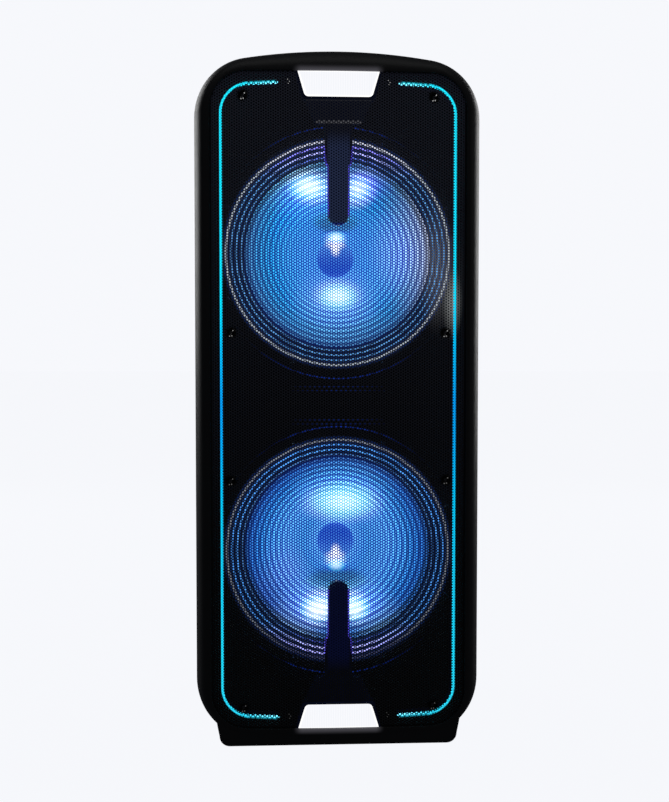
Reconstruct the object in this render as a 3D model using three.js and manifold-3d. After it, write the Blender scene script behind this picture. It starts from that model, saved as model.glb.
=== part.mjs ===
// Party speaker: a floor-standing moulded cabinet with two 12 inch woofers behind one perforated
// grille, cyan light strips, two white strobe panels with light arms, a trolley handle and two wheels.
// Units are millimetres. +Z is up, the front faces -Y, and the origin is on the floor under the middle.
import * as THREE from "three";
import { mergeVertices } from "three/addons/utils/BufferGeometryUtils.js";
import Module from "manifold-3d";

const wasm = await Module();
wasm.setup();

// ---------------------------------------------------------------- driving dimensions
const GAP = 0.3; // clearance between touching pieces
const WALL = 4; // moulded wall thickness
const DEPTH_HALF = 170; // the object runs from -170 to 170 in Y
const FRONT_Y = -DEPTH_HALF;
const CENTRE_Z = 439; // height of the line of symmetry of what is on the front
const CABINET_CENTRE_Z = 441.5; // and of the cabinet's own outline
const FLOOR_CLEARANCE = 3.2; // the plinth's underside; the feet reach the floor
const CABINET_BOTTOM_Z = 14;

// Outlines in the XZ plane about their centres: straight sides, shallow arches top and bottom.
const CABINET = { halfWidth: 183, halfHeight: 445.5, archRadius: 690, cornerRadius: 77.5 };
const OPENING = { halfWidth: 161, halfHeight: 415, archRadius: 4800, cornerRadius: 46 };
const STRIP = { halfWidth: 149.2, halfHeight: 406.1, archRadius: 1640, cornerRadius: 38 };
const CORNER_STEPS = 6;
const ARCH_STEPS = 3;

// The bezel's rim: a quarter ellipse from the cabinet's widest ring to the front lip.
const RIM_BACK_Y = -128;
const RIM_STEPS = 5;
const LIP_OUTER = 0.92; // share of the way from the cabinet outline to the opening outline
const LIP_INNER = 0.985;
const LAND_OUTER = 0.78; // the land that carries the baffle
const LAND_INNER = 0.9;
const WALL_SHARE = WALL / (CABINET.halfWidth - OPENING.halfWidth);

const GRILLE_Y = -166;
const GRILLE_THICK = 1.2;
const LAMP_FRONT_Y = -161.5; // front of the light arms and strobe lenses
const BAFFLE_Y = [-146.6, -134.6];

// Woofers
const WOOFER_OFFSET = 190.5; // above and below CENTRE_Z
const FLANGE_RADIUS = 157;
const FLANGE_RECESS_RADIUS = 158;
const FLANGE_RECESS_Y = -141.7;
const BASKET_HOLE_RADIUS = 148;
const CONE_OUTER = 123;
const CONE_EDGE = 120;
const CONE_INNER = 20.5;
const CONE_FRONT_Y = -134.9;
const CONE_DEPTH = 60;
const CAP_RADIUS = 24.6;
const COIL = { inner: 18.6, outer: 19.9, front: -73, back: -26 };
const ROUND = 24; // facets of a large turned piece
const SMALL_ROUND = 16; // facets of a small or hidden turned piece

// Rear
const BACK_Y = 160;
const SHELL_FRONT_Y = RIM_BACK_Y + 2.1;
const RECESS_Y = 130; // floor of the handle and panel recess
const RECESS_HALF_WIDTH = 137;
const RECESS_BOTTOM_Z = 455;
const FINGER_POCKET = { halfWidth: 98, floorY: 112, bottomZ: 806 };
const TUBE_X = 118;
const TUBE_Y = 146;
const WHEEL = { x: 134, y: 127, z: 44.5, radius: 43, width: 34 };
const WHEEL_WELL = { innerX: 110, frontY: 76, topZ: 99 };
const PORT = { z: 330, bore: 36, wall: 40, flange: 50, inside: 72 };
const SWITCH = { x: 46, z: 150 };
const INLET = { x: -46, z: 150 };

// ---------------------------------------------------------------- materials
function material(colour, roughness, metalness = 0, emissive = 0x000000) {
  return new THREE.MeshStandardMaterial({ color: colour, roughness, metalness, emissive });
}

const LOOK = {
  cabinet: material(0x131314, 0.6),
  grille: material(0x18181a, 0.5, 0.3),
  arm: material(0x0b0b0d, 0.35),
  strip: material(0x40e8ff, 0.3, 0, 0x00c8ff),
  strobe: material(0xffffff, 0.3, 0, 0xffffff),
  spot: material(0xdfefff, 0.2, 0, 0x66aaff),
  cone: material(0xb9c4d4, 0.45),
  surround: material(0x8d939e, 0.7),
  cap: material(0xc2cbd8, 0.35),
  spider: material(0xa98a4a, 0.9),
  frame: material(0x1a1b1d, 0.5, 0.6),
  steel: material(0x9a9c9f, 0.35, 1),
  magnet: material(0x2c2c2f, 0.8, 0.2),
  coil: material(0x9c5a2b, 0.4, 0.8),
  rubber: material(0x0d0d0d, 0.9),
  hub: material(0x2b2c2f, 0.4),
  tube: material(0xb4b6ba, 0.25, 1),
  panel: material(0x0e0e10, 0.3),
  knob: material(0x161618, 0.4),
  button: material(0x2a2b2e, 0.5),
  display: material(0x101418, 0.05, 0, 0x082030),
  board: material(0x174a2c, 0.6),
  battery: material(0x202226, 0.6),
};

// ---------------------------------------------------------------- solids
// A closed geometry of any kind as a manifold solid whose faces point out.
function solidFrom(geometry) {
  const loose = geometry.index ? geometry.toNonIndexed() : geometry;
  const bare = new THREE.BufferGeometry().setAttribute("position", loose.getAttribute("position"));
  const merged = mergeVertices(bare);
  const index = merged.index.array;
  const place = merged.getAttribute("position");
  const corner = [new THREE.Vector3(), new THREE.Vector3(), new THREE.Vector3()];
  const faces = [];
  let volume = 0;
  for (let i = 0; i < index.length; i += 3) {
    const [a, b, c] = index.slice(i, i + 3);
    if (a === b || b === c || a === c) continue; // a lathe's faces at its axis
    faces.push([a, b, c]);
    [a, b, c].forEach((vertex, k) => corner[k].fromBufferAttribute(place, vertex));
    volume += corner[0].dot(corner[1].clone().cross(corner[2]));
  }
  const outward = volume > 0 ? faces : faces.map(([a, b, c]) => [a, c, b]);
  return new wasm.Manifold(
    new wasm.Mesh({
      numProp: 3,
      vertProperties: place.array,
      triVerts: new Uint32Array(outward.flat()),
    }),
  );
}

function geometryOf(solid) {
  const mesh = solid.getMesh();
  const geometry = new THREE.BufferGeometry();
  geometry.setAttribute("position", new THREE.BufferAttribute(mesh.vertProperties, 3));
  geometry.setIndex(new THREE.BufferAttribute(mesh.triVerts, 1));
  return geometry;
}

// Joins rings of points, each ring with as many points, into one closed solid. A looped loft
// joins its last ring to its first; any other has both ends closed by a fan.
function loft(rings, looped = false) {
  const count = rings[0].length;
  const points = rings.flat();
  const faces = [];
  const spans = looped ? rings.length : rings.length - 1;
  for (let r = 0; r < spans; r++) {
    const here = r * count;
    const next = ((r + 1) % rings.length) * count;
    for (let i = 0; i < count; i++) {
      const j = (i + 1) % count;
      faces.push(here + i, here + j, next + i, here + j, next + j, next + i);
    }
  }
  if (!looped) {
    for (const [start, turn] of [[0, -1], [points.length - count, 1]]) {
      const ring = points.slice(start, start + count);
      const middle = ring.reduce((sum, p) => sum.add(p), new THREE.Vector3()).divideScalar(count);
      const hub = points.push(middle) - 1;
      for (let i = 0; i < count; i++) {
        const pair = [start + i, start + ((i + 1) % count)];
        faces.push(hub, ...(turn > 0 ? pair : pair.reverse()));
      }
    }
  }
  const geometry = new THREE.BufferGeometry().setFromPoints(points);
  geometry.setIndex(faces);
  return solidFrom(geometry);
}

// A turned piece. The profile is a list of [radius, place along the axis].
function turned(profile, axis = "y", segments = ROUND) {
  const points = [...profile, profile[0]].map(([radius, along]) => new THREE.Vector2(radius, along));
  const geometry = new THREE.LatheGeometry(points, segments);
  if (axis === "z") geometry.rotateX(Math.PI / 2);
  if (axis === "x") geometry.rotateZ(-Math.PI / 2);
  return solidFrom(geometry);
}

function rod(radius, from, to, axis = "y", segments = ROUND) {
  return turned([[0, from], [radius, from], [radius, to], [0, to]], axis, segments);
}

function block([x0, x1], [y0, y1], [z0, z1]) {
  const geometry = new THREE.BoxGeometry(x1 - x0, y1 - y0, z1 - z0);
  geometry.translate((x0 + x1) / 2, (y0 + y1) / 2, (z0 + z1) / 2);
  return solidFrom(geometry);
}

// A plate parallel to the front, from a list of [x, z] or a THREE.Shape.
function plate(outline, [y0, y1], curveSegments = 6) {
  const shape = Array.isArray(outline)
    ? new THREE.Shape(outline.map(([x, z]) => new THREE.Vector2(x, z)))
    : outline;
  const geometry = new THREE.ExtrudeGeometry(shape, {
    depth: y1 - y0,
    bevelEnabled: false,
    curveSegments,
  });
  geometry.rotateX(Math.PI / 2);
  geometry.translate(0, y1, 0);
  return solidFrom(geometry);
}

// A block with rounded edges around one axis, as a loft of two rounded rectangles.
function softBlock([x0, x1], [y0, y1], [z0, z1], radius, axis) {
  const spans = { x: [[y0, y1], [z0, z1]], y: [[x0, x1], [z0, z1]], z: [[x0, x1], [y0, y1]] }[axis];
  const [[a0, a1], [b0, b1]] = spans;
  const ends = { x: [x0, x1], y: [y0, y1], z: [z0, z1] }[axis];
  const steps = 3;
  const corners = [[a1, b1, 0], [a0, b1, 1], [a0, b0, 2], [a1, b0, 3]];
  const flat = corners.flatMap(([a, b, quarter]) =>
    Array.from({ length: steps + 1 }, (_, i) => {
      const angle = (quarter + i / steps) * (Math.PI / 2);
      const inA = a + (a === a1 ? -radius : radius);
      const inB = b + (b === b1 ? -radius : radius);
      return [inA + radius * Math.cos(angle), inB + radius * Math.sin(angle)];
    }),
  );
  const place = {
    x: (end, a, b) => new THREE.Vector3(end, a, b),
    y: (end, a, b) => new THREE.Vector3(a, end, b),
    z: (end, a, b) => new THREE.Vector3(a, b, end),
  }[axis];
  return loft(ends.map((end) => flat.map(([a, b]) => place(end, a, b))));
}

function moved(solid, x, y, z) {
  const geometry = geometryOf(solid);
  geometry.translate(x, y, z);
  return solidFrom(geometry);
}

function joined(...solids) {
  return solids.reduce((whole, piece) => whole.add(piece));
}

// ---------------------------------------------------------------- outlines
function grown(outline, by) {
  return {
    halfWidth: outline.halfWidth + by,
    halfHeight: outline.halfHeight + by,
    archRadius: outline.archRadius + by,
    cornerRadius: outline.cornerRadius + by,
  };
}

// One quarter of an outline, from its straight side to the arch at x = endX, about the centre.
function quarter({ halfWidth, halfHeight, archRadius, cornerRadius }, endX = 0, archSteps = ARCH_STEPS) {
  const cornerX = halfWidth - cornerRadius;
  const archZ = halfHeight - archRadius;
  const cornerZ = archZ + Math.sqrt((archRadius - cornerRadius) ** 2 - cornerX ** 2);
  const meet = Math.atan2(cornerZ - archZ, cornerX);
  const end = Math.acos(endX / archRadius);
  const points = [];
  for (let i = 0; i < CORNER_STEPS; i++) {
    const angle = (meet * i) / CORNER_STEPS;
    points.push([
      cornerX + cornerRadius * Math.cos(angle),
      cornerZ + cornerRadius * Math.sin(angle),
    ]);
  }
  for (let i = 0; i <= archSteps; i++) {
    const angle = meet + ((end - meet) * i) / archSteps;
    points.push([archRadius * Math.cos(angle), archZ + archRadius * Math.sin(angle)]);
  }
  return points;
}

// The whole outline as points [x, z] about the centre, anticlockwise from the right side.
function outlinePoints(outline) {
  const first = quarter(outline);
  const second = first.slice(0, -1).reverse().map(([x, z]) => [-x, z]);
  const upper = [...first, ...second];
  return [...upper, ...upper.map(([x, z]) => [-x, -z])].filter(
    ([x, z], i, all) => i === 0 || Math.hypot(x - all[i - 1][0], z - all[i - 1][1]) > 1e-6,
  );
}

// A ring part of the way from the cabinet outline to the opening outline, cut off below floorZ.
function ring(share, y, floorZ, grow = 0) {
  const outer = outlinePoints(grown(CABINET, grow));
  const inner = outlinePoints(grown(OPENING, grow));
  return outer.map(([x, z], i) => {
    const [innerX, innerZ] = inner[i];
    const height = THREE.MathUtils.lerp(CABINET_CENTRE_Z + z, CENTRE_Z + innerZ, share);
    return new THREE.Vector3(THREE.MathUtils.lerp(x, innerX, share), y, Math.max(height, floorZ));
  });
}

// The cabinet outline drawn in by an inset, cut off below floorZ.
function shellRing(inset, y, floorZ) {
  return outlinePoints(grown(CABINET, -inset)).map(
    ([x, z]) => new THREE.Vector3(x, y, Math.max(CABINET_CENTRE_Z + z, floorZ)),
  );
}

// ---------------------------------------------------------------- front
// Rings of the rim's curved face from the lip to the widest ring, drawn in by an inset.
function rimRings(inset, floorZ, grow = 0) {
  const rings = [];
  const depth = RIM_BACK_Y - FRONT_Y + grow - inset;
  for (let i = 0; i <= RIM_STEPS; i++) {
    const angle = ((Math.PI / 2) * i) / RIM_STEPS;
    const side = inset > 0 ? WALL_SHARE : 0;
    const share = THREE.MathUtils.lerp(inset > 0 ? LAND_OUTER : LIP_OUTER, side, Math.sin(angle));
    rings.push(ring(share, RIM_BACK_Y - depth * Math.cos(angle), floorZ, grow));
  }
  return rings;
}

function makeBezel() {
  const floorZ = CABINET_BOTTOM_Z;
  const wallBack = SHELL_FRONT_Y - GAP;
  const outside = [
    ring(LIP_INNER, FRONT_Y, floorZ),
    ...rimRings(0, floorZ),
    ring(0, wallBack, floorZ),
  ];
  const inside = [...rimRings(WALL, floorZ + WALL).slice(1), ring(WALL_SHARE, wallBack, floorZ + WALL)];
  const landBack = BAFFLE_Y[0] - GAP;
  const landFloorZ = floorZ + WALL + 1.2; // the land stands clear of the bezel's floor
  return loft(
    [
      ...outside,
      ...inside.reverse(),
      ring(LAND_OUTER, landBack - 4, landFloorZ),
      ring(LAND_OUTER, landBack, landFloorZ),
      ring(LAND_INNER, landBack, floorZ),
      ring(LAND_INNER, GRILLE_Y - GAP, floorZ),
      ring(1, GRILLE_Y - GAP, floorZ),
      ring(1, FRONT_Y + 1.5, floorZ),
    ],
    true,
  );
}

function makeGrille() {
  const outline = outlinePoints(grown(OPENING, 1.4)).map(([x, z]) => [x, CENTRE_Z + z]);
  return plate(outline, [GRILLE_Y, GRILLE_Y + GRILLE_THICK]);
}

function makeBaffle() {
  const share = 0.33;
  const rings = BAFFLE_Y.map((y) => ring(share, y, CABINET_BOTTOM_Z + WALL + GAP));
  let baffle = loft(rings);
  for (const offset of [WOOFER_OFFSET, -WOOFER_OFFSET]) {
    const hole = rod(BASKET_HOLE_RADIUS, BAFFLE_Y[0] - 1, BAFFLE_Y[1] + 1, "y", 40);
    const recess = rod(FLANGE_RECESS_RADIUS, BAFFLE_Y[0] - 1, FLANGE_RECESS_Y, "y", 40);
    baffle = baffle.subtract(moved(joined(hole, recess), 0, 0, CENTRE_Z + offset));
  }
  return baffle;
}

// A light strip: a bar that follows the strip outline down one side (side is 1 or -1).
function makeStrip(side) {
  const halfThick = 2.25;
  const endX = 76;
  const path = (grow) => {
    const top = quarter(grown(STRIP, grow), endX, 2);
    const bottom = top.map(([x, z]) => [x, -z]).reverse();
    return [...top.slice().reverse(), ...bottom.reverse()];
  };
  const inner = path(-halfThick);
  const outer = path(halfThick);
  const back = BAFFLE_Y[0] - GAP;
  const sections = inner.map(([x, z], i) => [
    new THREE.Vector3(side * x, LAMP_FRONT_Y - 0.5, CENTRE_Z + z),
    new THREE.Vector3(side * outer[i][0], LAMP_FRONT_Y - 0.5, CENTRE_Z + outer[i][1]),
    new THREE.Vector3(side * outer[i][0], back, CENTRE_Z + outer[i][1]),
    new THREE.Vector3(side * x, back, CENTRE_Z + z),
  ]);
  return loft(sections);
}

// The strobe panel's trapezium, widest at the rim, with its two inner corners rounded.
const STROBE = { innerHalf: 41, outerHalf: 51.7, outerZ: 416, round: 6 };

// The height above or below the middle at which a strobe panel starts.
function strobeInnerZ(side) {
  return side > 0 ? 383.6 : 385.1;
}

function strobeShape(side, grow) {
  const { innerHalf, outerHalf, outerZ, round } = STROBE;
  const shape = new THREE.Shape();
  const low = strobeInnerZ(side) - grow;
  const at = (x, z) => [x, CENTRE_Z + side * z];
  shape.moveTo(...at(-outerHalf - grow, outerZ));
  shape.lineTo(...at(-innerHalf - grow - round * 0.3, low + round));
  shape.quadraticCurveTo(...at(-innerHalf - grow, low), ...at(-innerHalf - grow + round, low));
  shape.lineTo(...at(innerHalf + grow - round, low));
  shape.quadraticCurveTo(...at(innerHalf + grow, low), ...at(innerHalf + grow + round * 0.3, low + round));
  shape.lineTo(...at(outerHalf + grow, outerZ));
  return shape;
}

function makeStrobeLens(side) {
  return plate(strobeShape(side, 0), [LAMP_FRONT_Y, LAMP_FRONT_Y + 7]);
}

// A light arm: a round-ended bar over the cone, a keystone, and the tray behind the strobe lens.
const ARM = { tipRadius: 13, stepZ: 300, rootZ: 338, keyZ: 351.5, backY: -150 };

// The distance of an arm's rounded tip from the middle: the lower arm is a little shorter.
function armTipZ(side) {
  return side > 0 ? 237.5 : 240.8;
}

function makeArm(side) {
  const half = [];
  for (let i = 0; i <= 6; i++) {
    const angle = -Math.PI / 2 + (Math.PI / 2) * (i / 6);
    half.push([ARM.tipRadius * Math.cos(angle), armTipZ(side) + ARM.tipRadius * Math.sin(angle)]);
  }
  half.push([13.4, ARM.stepZ], [16.4, ARM.stepZ + 4], [18, ARM.rootZ], [18, ARM.keyZ], [29, ARM.keyZ]);
  half.push([44.5, strobeInnerZ(side) - 1]);
  const mirrored = half.slice(1).reverse().map(([x, z]) => [-x, z]);
  const outline = [...half, ...mirrored].map(([x, z]) => [x, CENTRE_Z + side * z]);
  const bar = plate(outline, [LAMP_FRONT_Y, ARM.backY]);
  const trayBack = BAFFLE_Y[0] - GAP;
  const tray = plate(strobeShape(side, 3.6), [LAMP_FRONT_Y, trayBack]);
  const foot = plate(
    [
      [-29, ARM.keyZ],
      [29, ARM.keyZ],
      [42.5, strobeInnerZ(side)],
      [-42.5, strobeInnerZ(side)],
    ].map(([x, z]) => [x, CENTRE_Z + side * z]),
    [LAMP_FRONT_Y, trayBack],
  );
  const pocket = plate(strobeShape(side, 0.4), [LAMP_FRONT_Y - 1, LAMP_FRONT_Y + 7.4]);
  const open = block([-58, 58], [LAMP_FRONT_Y - 1, LAMP_FRONT_Y + 7.4], [
    CENTRE_Z + side * (STROBE.outerZ + 1.5 * side) - 1.5,
    CENTRE_Z + side * (STROBE.outerZ + 1.5 * side) + 1.5,
  ]);
  return joined(bar, tray, foot).subtract(pocket).subtract(open);
}

function makeSpotLens(side) {
  const back = ARM.backY + GAP;
  const lens = turned([[0, back], [9, back], [9, back + 2], [6, back + 4], [0, back + 5]], "y", SMALL_ROUND);
  return moved(lens, 0, 0, CENTRE_Z + side * armTipZ(side));
}

// ---------------------------------------------------------------- woofer, about its own axis
function makeWooferFrame() {
  const flange = [[FLANGE_RADIUS, -146], [FLANGE_RADIUS, -142], [147.4, -142], [147.4, -138]];
  const outside = [[74, -56], [68, -44]];
  const floor = [[24, -44], [24, -47], [54, -47], [54, -53], [66, -53]];
  const inside = [[141, -137], [141, -143], [147.5, -143], [147.5, -146]];
  let frame = turned([...flange, ...outside, ...floor, ...inside]);
  const windows = 6;
  for (let i = 0; i < windows; i++) {
    const window = new THREE.BoxGeometry(46, 52, 58);
    window.translate(106, -93, 0);
    window.rotateY((i / windows) * Math.PI * 2);
    frame = frame.subtract(solidFrom(window));
  }
  return frame;
}

// The cone's front face at a radius: a straight slope with a slight curve.
function coneY(radius) {
  const share = (CONE_EDGE - radius) / (CONE_EDGE - 25);
  return CONE_FRONT_Y + CONE_DEPTH * share + 4 * Math.sin(Math.PI * Math.min(share, 1));
}

function makeCone() {
  const steps = 4;
  const radii = Array.from({ length: steps + 1 }, (_, i) =>
    THREE.MathUtils.lerp(CONE_EDGE, CONE_INNER, i / steps),
  );
  const front = radii.map((radius) => [radius, coneY(radius)]);
  const back = radii.map((radius) => [radius, coneY(radius) + 1.8]).reverse();
  return turned([[CONE_OUTER, CONE_FRONT_Y], ...front, ...back, [CONE_OUTER, CONE_FRONT_Y + 1.8]]);
}

function makeSurround() {
  const front = [[147, -144.6], [142, -144.8], [136, -145.6], [129, -141.4], [123.5, -136.6]];
  const inner = [[119, -136.4], [119, CONE_FRONT_Y - GAP], [124.2, CONE_FRONT_Y - GAP]];
  const back = [[131, -141], [136.5, -144], [142, -143.3], [147, -143.3]];
  return turned([...front, ...inner, ...back]);
}

function makeDustCap() {
  const base = coneY(CAP_RADIUS) - 0.5;
  const front = [[CAP_RADIUS, base], [20, base - 4], [12, base - 7], [0, base - 8.4]];
  const back = [[0, base - 7.4], [12, base - 6], [19, base - 3], [23.4, base + 0.2]];
  return turned([...front, ...back], "y", SMALL_ROUND);
}

function makeVoiceCoil() {
  const { inner, outer, front, back } = COIL;
  return turned([[inner, front], [outer, front], [outer, back], [inner, back]], "y", SMALL_ROUND);
}

function makeSpider() {
  const front = [[61.5, -54.8], [52, -54.8], [42, -56.8], [32, -54.8], [20.6, -54.8]];
  const back = front.map(([radius, y]) => [radius, y + 1.2]).reverse();
  return turned([...front, ...back], "y", 20);
}

function makeTopPlate() {
  return turned([[21.4, -43.6], [50, -43.6], [50, -37.6], [21.4, -37.6]], "y", 20);
}

function makeMagnet() {
  return turned([[27, -37.3], [58, -37.3], [58, -17.3], [27, -17.3]], "y", 20);
}

function makeYoke() {
  return turned([[0, -42], [17.6, -42], [17.6, -17], [54, -17], [54, -11], [0, -11]], "y", 20);
}

// ---------------------------------------------------------------- rear shell and plinth
// Insets and places of the shell's rings, from its front edge to its rounded back edge.
const SHELL_BACK_ROUND = { inset: [6, 25], y: [118, BACK_Y], steps: 5 };

function shellRings(inset, frontY, floorZ) {
  const { inset: draft, y, steps } = SHELL_BACK_ROUND;
  const rings = [shellRing(inset, frontY, floorZ)];
  for (let i = 0; i <= steps; i++) {
    const angle = ((Math.PI / 2) * i) / steps;
    rings.push(
      shellRing(
        inset + THREE.MathUtils.lerp(draft[0], draft[1], 1 - Math.cos(angle)),
        THREE.MathUtils.lerp(y[0], y[1] - inset, Math.sin(angle)),
        floorZ,
      ),
    );
  }
  return rings;
}

// Places the shell is set in for the handle, the fingers and the wheels, grown by a wall.
function shellPockets(grow) {
  const far = BACK_Y + 60;
  const recess = block(
    [-RECESS_HALF_WIDTH - grow, RECESS_HALF_WIDTH + grow],
    [RECESS_Y - grow, far],
    [RECESS_BOTTOM_Z - grow, 1000],
  );
  const fingers = block(
    [-FINGER_POCKET.halfWidth - grow, FINGER_POCKET.halfWidth + grow],
    [FINGER_POCKET.floorY - grow, far],
    [FINGER_POCKET.bottomZ - grow, 1000],
  );
  return [recess, fingers, ...[1, -1].map((side) => wheelWell(side, grow))];
}

function wheelWell(side, grow) {
  const span = [side * (WHEEL_WELL.innerX - grow), side * 260].sort((a, b) => a - b);
  return block(span, [WHEEL_WELL.frontY - grow, BACK_Y + 60], [-60, WHEEL_WELL.topZ + grow]);
}

function makeRearShell() {
  const outer = loft(shellRings(0, SHELL_FRONT_Y, CABINET_BOTTOM_Z));
  const hollow = loft(shellRings(WALL, SHELL_FRONT_Y - 1, CABINET_BOTTOM_Z + WALL));
  const liners = shellPockets(WALL).map((liner) => liner.intersect(outer));
  let shell = joined(outer.subtract(hollow), ...liners);
  for (const pocket of shellPockets(0)) shell = shell.subtract(pocket);
  const axle = moved(rod(7, -200, 200, "x", SMALL_ROUND), 0, WHEEL.y, WHEEL.z);
  const port = moved(rod(PORT.wall + 0.6, 60, BACK_Y + 10, "y", 24), 0, 0, PORT.z);
  const inlet = block([INLET.x - 14.6, INLET.x + 14.6], [140, BACK_Y + 10], [INLET.z - 10.6, INLET.z + 10.6]);
  const rocker = block([SWITCH.x - 10.4, SWITCH.x + 10.4], [140, BACK_Y + 10], [SWITCH.z - 15, SWITCH.z + 15]);
  return [axle, port, inlet, rocker].reduce((rest, cut) => rest.subtract(cut), shell);
}

// The whole cabinet as one solid, a little larger all round, for cutting its neighbours.
function makeEnvelope(grow) {
  const floorZ = CABINET_BOTTOM_Z - grow;
  return loft([
    ring(LIP_INNER, FRONT_Y - grow, floorZ, grow),
    ...rimRings(0, floorZ, grow),
    ...shellRings(-grow, SHELL_FRONT_Y, floorZ),
  ]);
}

const FOOT = { x: 114, halfWidth: 27, front: [-160, -116], back: [24, 64], topZ: 7.7 };

// The plinth: a skirt flush with the front lip, narrower than the cabinet, with rounded bottom corners.
function makePlinth() {
  const top = 40;
  const bottom = FLOOR_CLEARANCE;
  const round = 13;
  const footHalf = 151.4;
  const half = [[footHalf - round, bottom]];
  for (let i = 1; i <= 5; i++) {
    const angle = -Math.PI / 2 + (Math.PI / 2) * (i / 5);
    half.push([footHalf - round + round * Math.cos(angle), bottom + round + round * Math.sin(angle)]);
  }
  half.push([153.6, 27], [156, top]);
  const outline = [...half, ...half.slice().reverse().map(([x, z]) => [-x, z])];
  const plan = softBlock([-170, 170], [FRONT_Y + 1, BACK_Y - 8], [0, top + 1], 24, "z");
  let plinth = plate(outline, [FRONT_Y, BACK_Y]).intersect(plan).subtract(makeEnvelope(GAP));
  for (const side of [1, -1]) {
    plinth = plinth.subtract(wheelWell(side, 0));
    for (const [y0, y1] of [FOOT.front, FOOT.back]) {
      const middle = side * FOOT.x;
      const span = [middle - FOOT.halfWidth - GAP, middle + FOOT.halfWidth + GAP];
      plinth = plinth.subtract(block(span, [y0 - GAP, y1 + GAP], [-5, FOOT.topZ + GAP]));
    }
  }
  return plinth;
}

// A pad whose two ends curve up off the floor.
function makeFoot([y0, y1]) {
  const half = FOOT.halfWidth;
  const end = [[half - 5, 0], [half - 1.5, 0.7], [half, 2.4], [half, FOOT.topZ]];
  const outline = [...end, ...end.slice().reverse().map(([x, z]) => [-x, z])];
  const plan = softBlock([-half, half], [y0, y1], [0, FOOT.topZ], 6, "z");
  return plate(outline, [y0, y1]).intersect(plan);
}

// ---------------------------------------------------------------- wheels, about their own axis
function makeTyre() {
  const half = WHEEL.width / 2;
  const tread = [[29.3, -half + 3], [38, -half], [WHEEL.radius, -half + 5], [WHEEL.radius, half - 5]];
  return turned([...tread, [38, half], [29.3, half - 3]], "x", 24);
}

function makeHub() {
  const half = WHEEL.width / 2 - 3;
  const boss = half + 2;
  const rim = [[26, -half], [28.6, -half], [28.6, half], [26, half]];
  const face = [[24, half - 5], [10, half - 5], [10, boss], [6.8, boss]];
  const rear = [[6.8, -boss], [10, -boss], [10, -half + 5], [24, -half + 5]];
  return turned([...rim, ...face, ...rear], "x", 20);
}

function makeAxle() {
  const head = WHEEL.x + WHEEL.width / 2 + 0.6;
  const end = head + 3;
  const profile = [[0, -end], [9, -end], [9, -head], [6, -head], [6, head], [9, head], [9, end], [0, end]];
  return turned(profile, "x", SMALL_ROUND);
}

// ---------------------------------------------------------------- trolley handle
const SLEEVE = { outer: 11, inner: 8.4, bottom: 470, top: 830, collar: 13 };
const INNER_TUBE = { radius: 8, bottom: 490, top: 849 };
const GRIP = { halfWidth: 130, y: [134, 158], z: [838, 862] };
const GRIP_BUTTON = { halfWidth: 16, y: [140, 152], bottomZ: 853.5, topZ: 864.5, travel: 4 };

function makeSleeve() {
  const { outer, inner, bottom, top, collar } = SLEEVE;
  const shoulder = top - 14;
  const tube = turned(
    [[inner, bottom], [outer, bottom], [outer, shoulder], [collar, shoulder], [collar, top], [inner, top]],
    "z",
    SMALL_ROUND,
  );
  let sleeve = tube;
  for (const z of [bottom + 8, shoulder - 30]) {
    const lug = block([-7, 7], [RECESS_Y + GAP - TUBE_Y, -inner - 1], [z, z + 18]);
    sleeve = sleeve.add(lug);
  }
  return sleeve;
}

function makeInnerTube() {
  return rod(INNER_TUBE.radius, INNER_TUBE.bottom, INNER_TUBE.top, "z", SMALL_ROUND);
}

function makeGrip() {
  const { halfWidth, y, z } = GRIP;
  let grip = softBlock([-halfWidth, halfWidth], y, z, 7, "x");
  for (const side of [1, -1]) {
    const socket = rod(INNER_TUBE.radius + GAP, z[0] - 1, INNER_TUBE.top + GAP, "z", SMALL_ROUND);
    grip = grip.subtract(moved(socket, side * TUBE_X, TUBE_Y, 0));
  }
  const { halfWidth: wide, y: deep, bottomZ, travel } = GRIP_BUTTON;
  const well = block([-wide - 0.5, wide + 0.5], [deep[0] - 0.5, deep[1] + 0.5], [bottomZ - travel - 1, 900]);
  return grip.subtract(well);
}

function makeGripButton() {
  const { halfWidth, y, bottomZ, topZ } = GRIP_BUTTON;
  return softBlock([-halfWidth, halfWidth], y, [bottomZ, topZ], 3, "z");
}

// ---------------------------------------------------------------- controls and electronics
const PANEL = { halfWidth: 98, y: [RECESS_Y + 0.4, RECESS_Y + 6.4], z: [560, 800] };
const DISPLAY = { halfWidth: 42, z: [758, 786] };
const KNOBS = {
  volume_knob: { x: 0, z: 708, radius: 25, height: 17 },
  tone_knob: { x: -44, z: 622, radius: 12, height: 14 },
  mic_knob: { x: 44, z: 622, radius: 12, height: 14 },
};
const BUTTONS = { mode_button: [-40, 664], play_button: [0, 664], light_button: [40, 664] };
const BUTTON = { radius: 8, inside: PANEL.y[0] + 2.2, outside: PANEL.y[1] + 3.4 };
const JACK = { x: 0, z: 590, radius: 9, bore: 3.5 };
const KNOB_SHAFT = 3;

function makePanel() {
  const [inside, outside] = PANEL.y;
  let panel = softBlock([-PANEL.halfWidth, PANEL.halfWidth], PANEL.y, PANEL.z, 8, "y");
  const window = [[-DISPLAY.halfWidth - GAP, DISPLAY.halfWidth + GAP], [outside - 3, outside + 5]];
  panel = panel.subtract(block(...window, [DISPLAY.z[0] - GAP, DISPLAY.z[1] + GAP]));
  for (const { x, z } of Object.values(KNOBS)) {
    panel = panel.subtract(moved(rod(KNOB_SHAFT + 0.4, outside - 4, outside + 5, "y", SMALL_ROUND), x, 0, z));
  }
  for (const [x, z] of Object.values(BUTTONS)) {
    panel = panel.subtract(moved(rod(BUTTON.radius + 0.5, inside - 1, outside + 5, "y", SMALL_ROUND), x, 0, z));
  }
  return panel.subtract(moved(rod(JACK.radius + 0.3, inside - 1, outside + 5, "y", SMALL_ROUND), JACK.x, 0, JACK.z));
}

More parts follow.
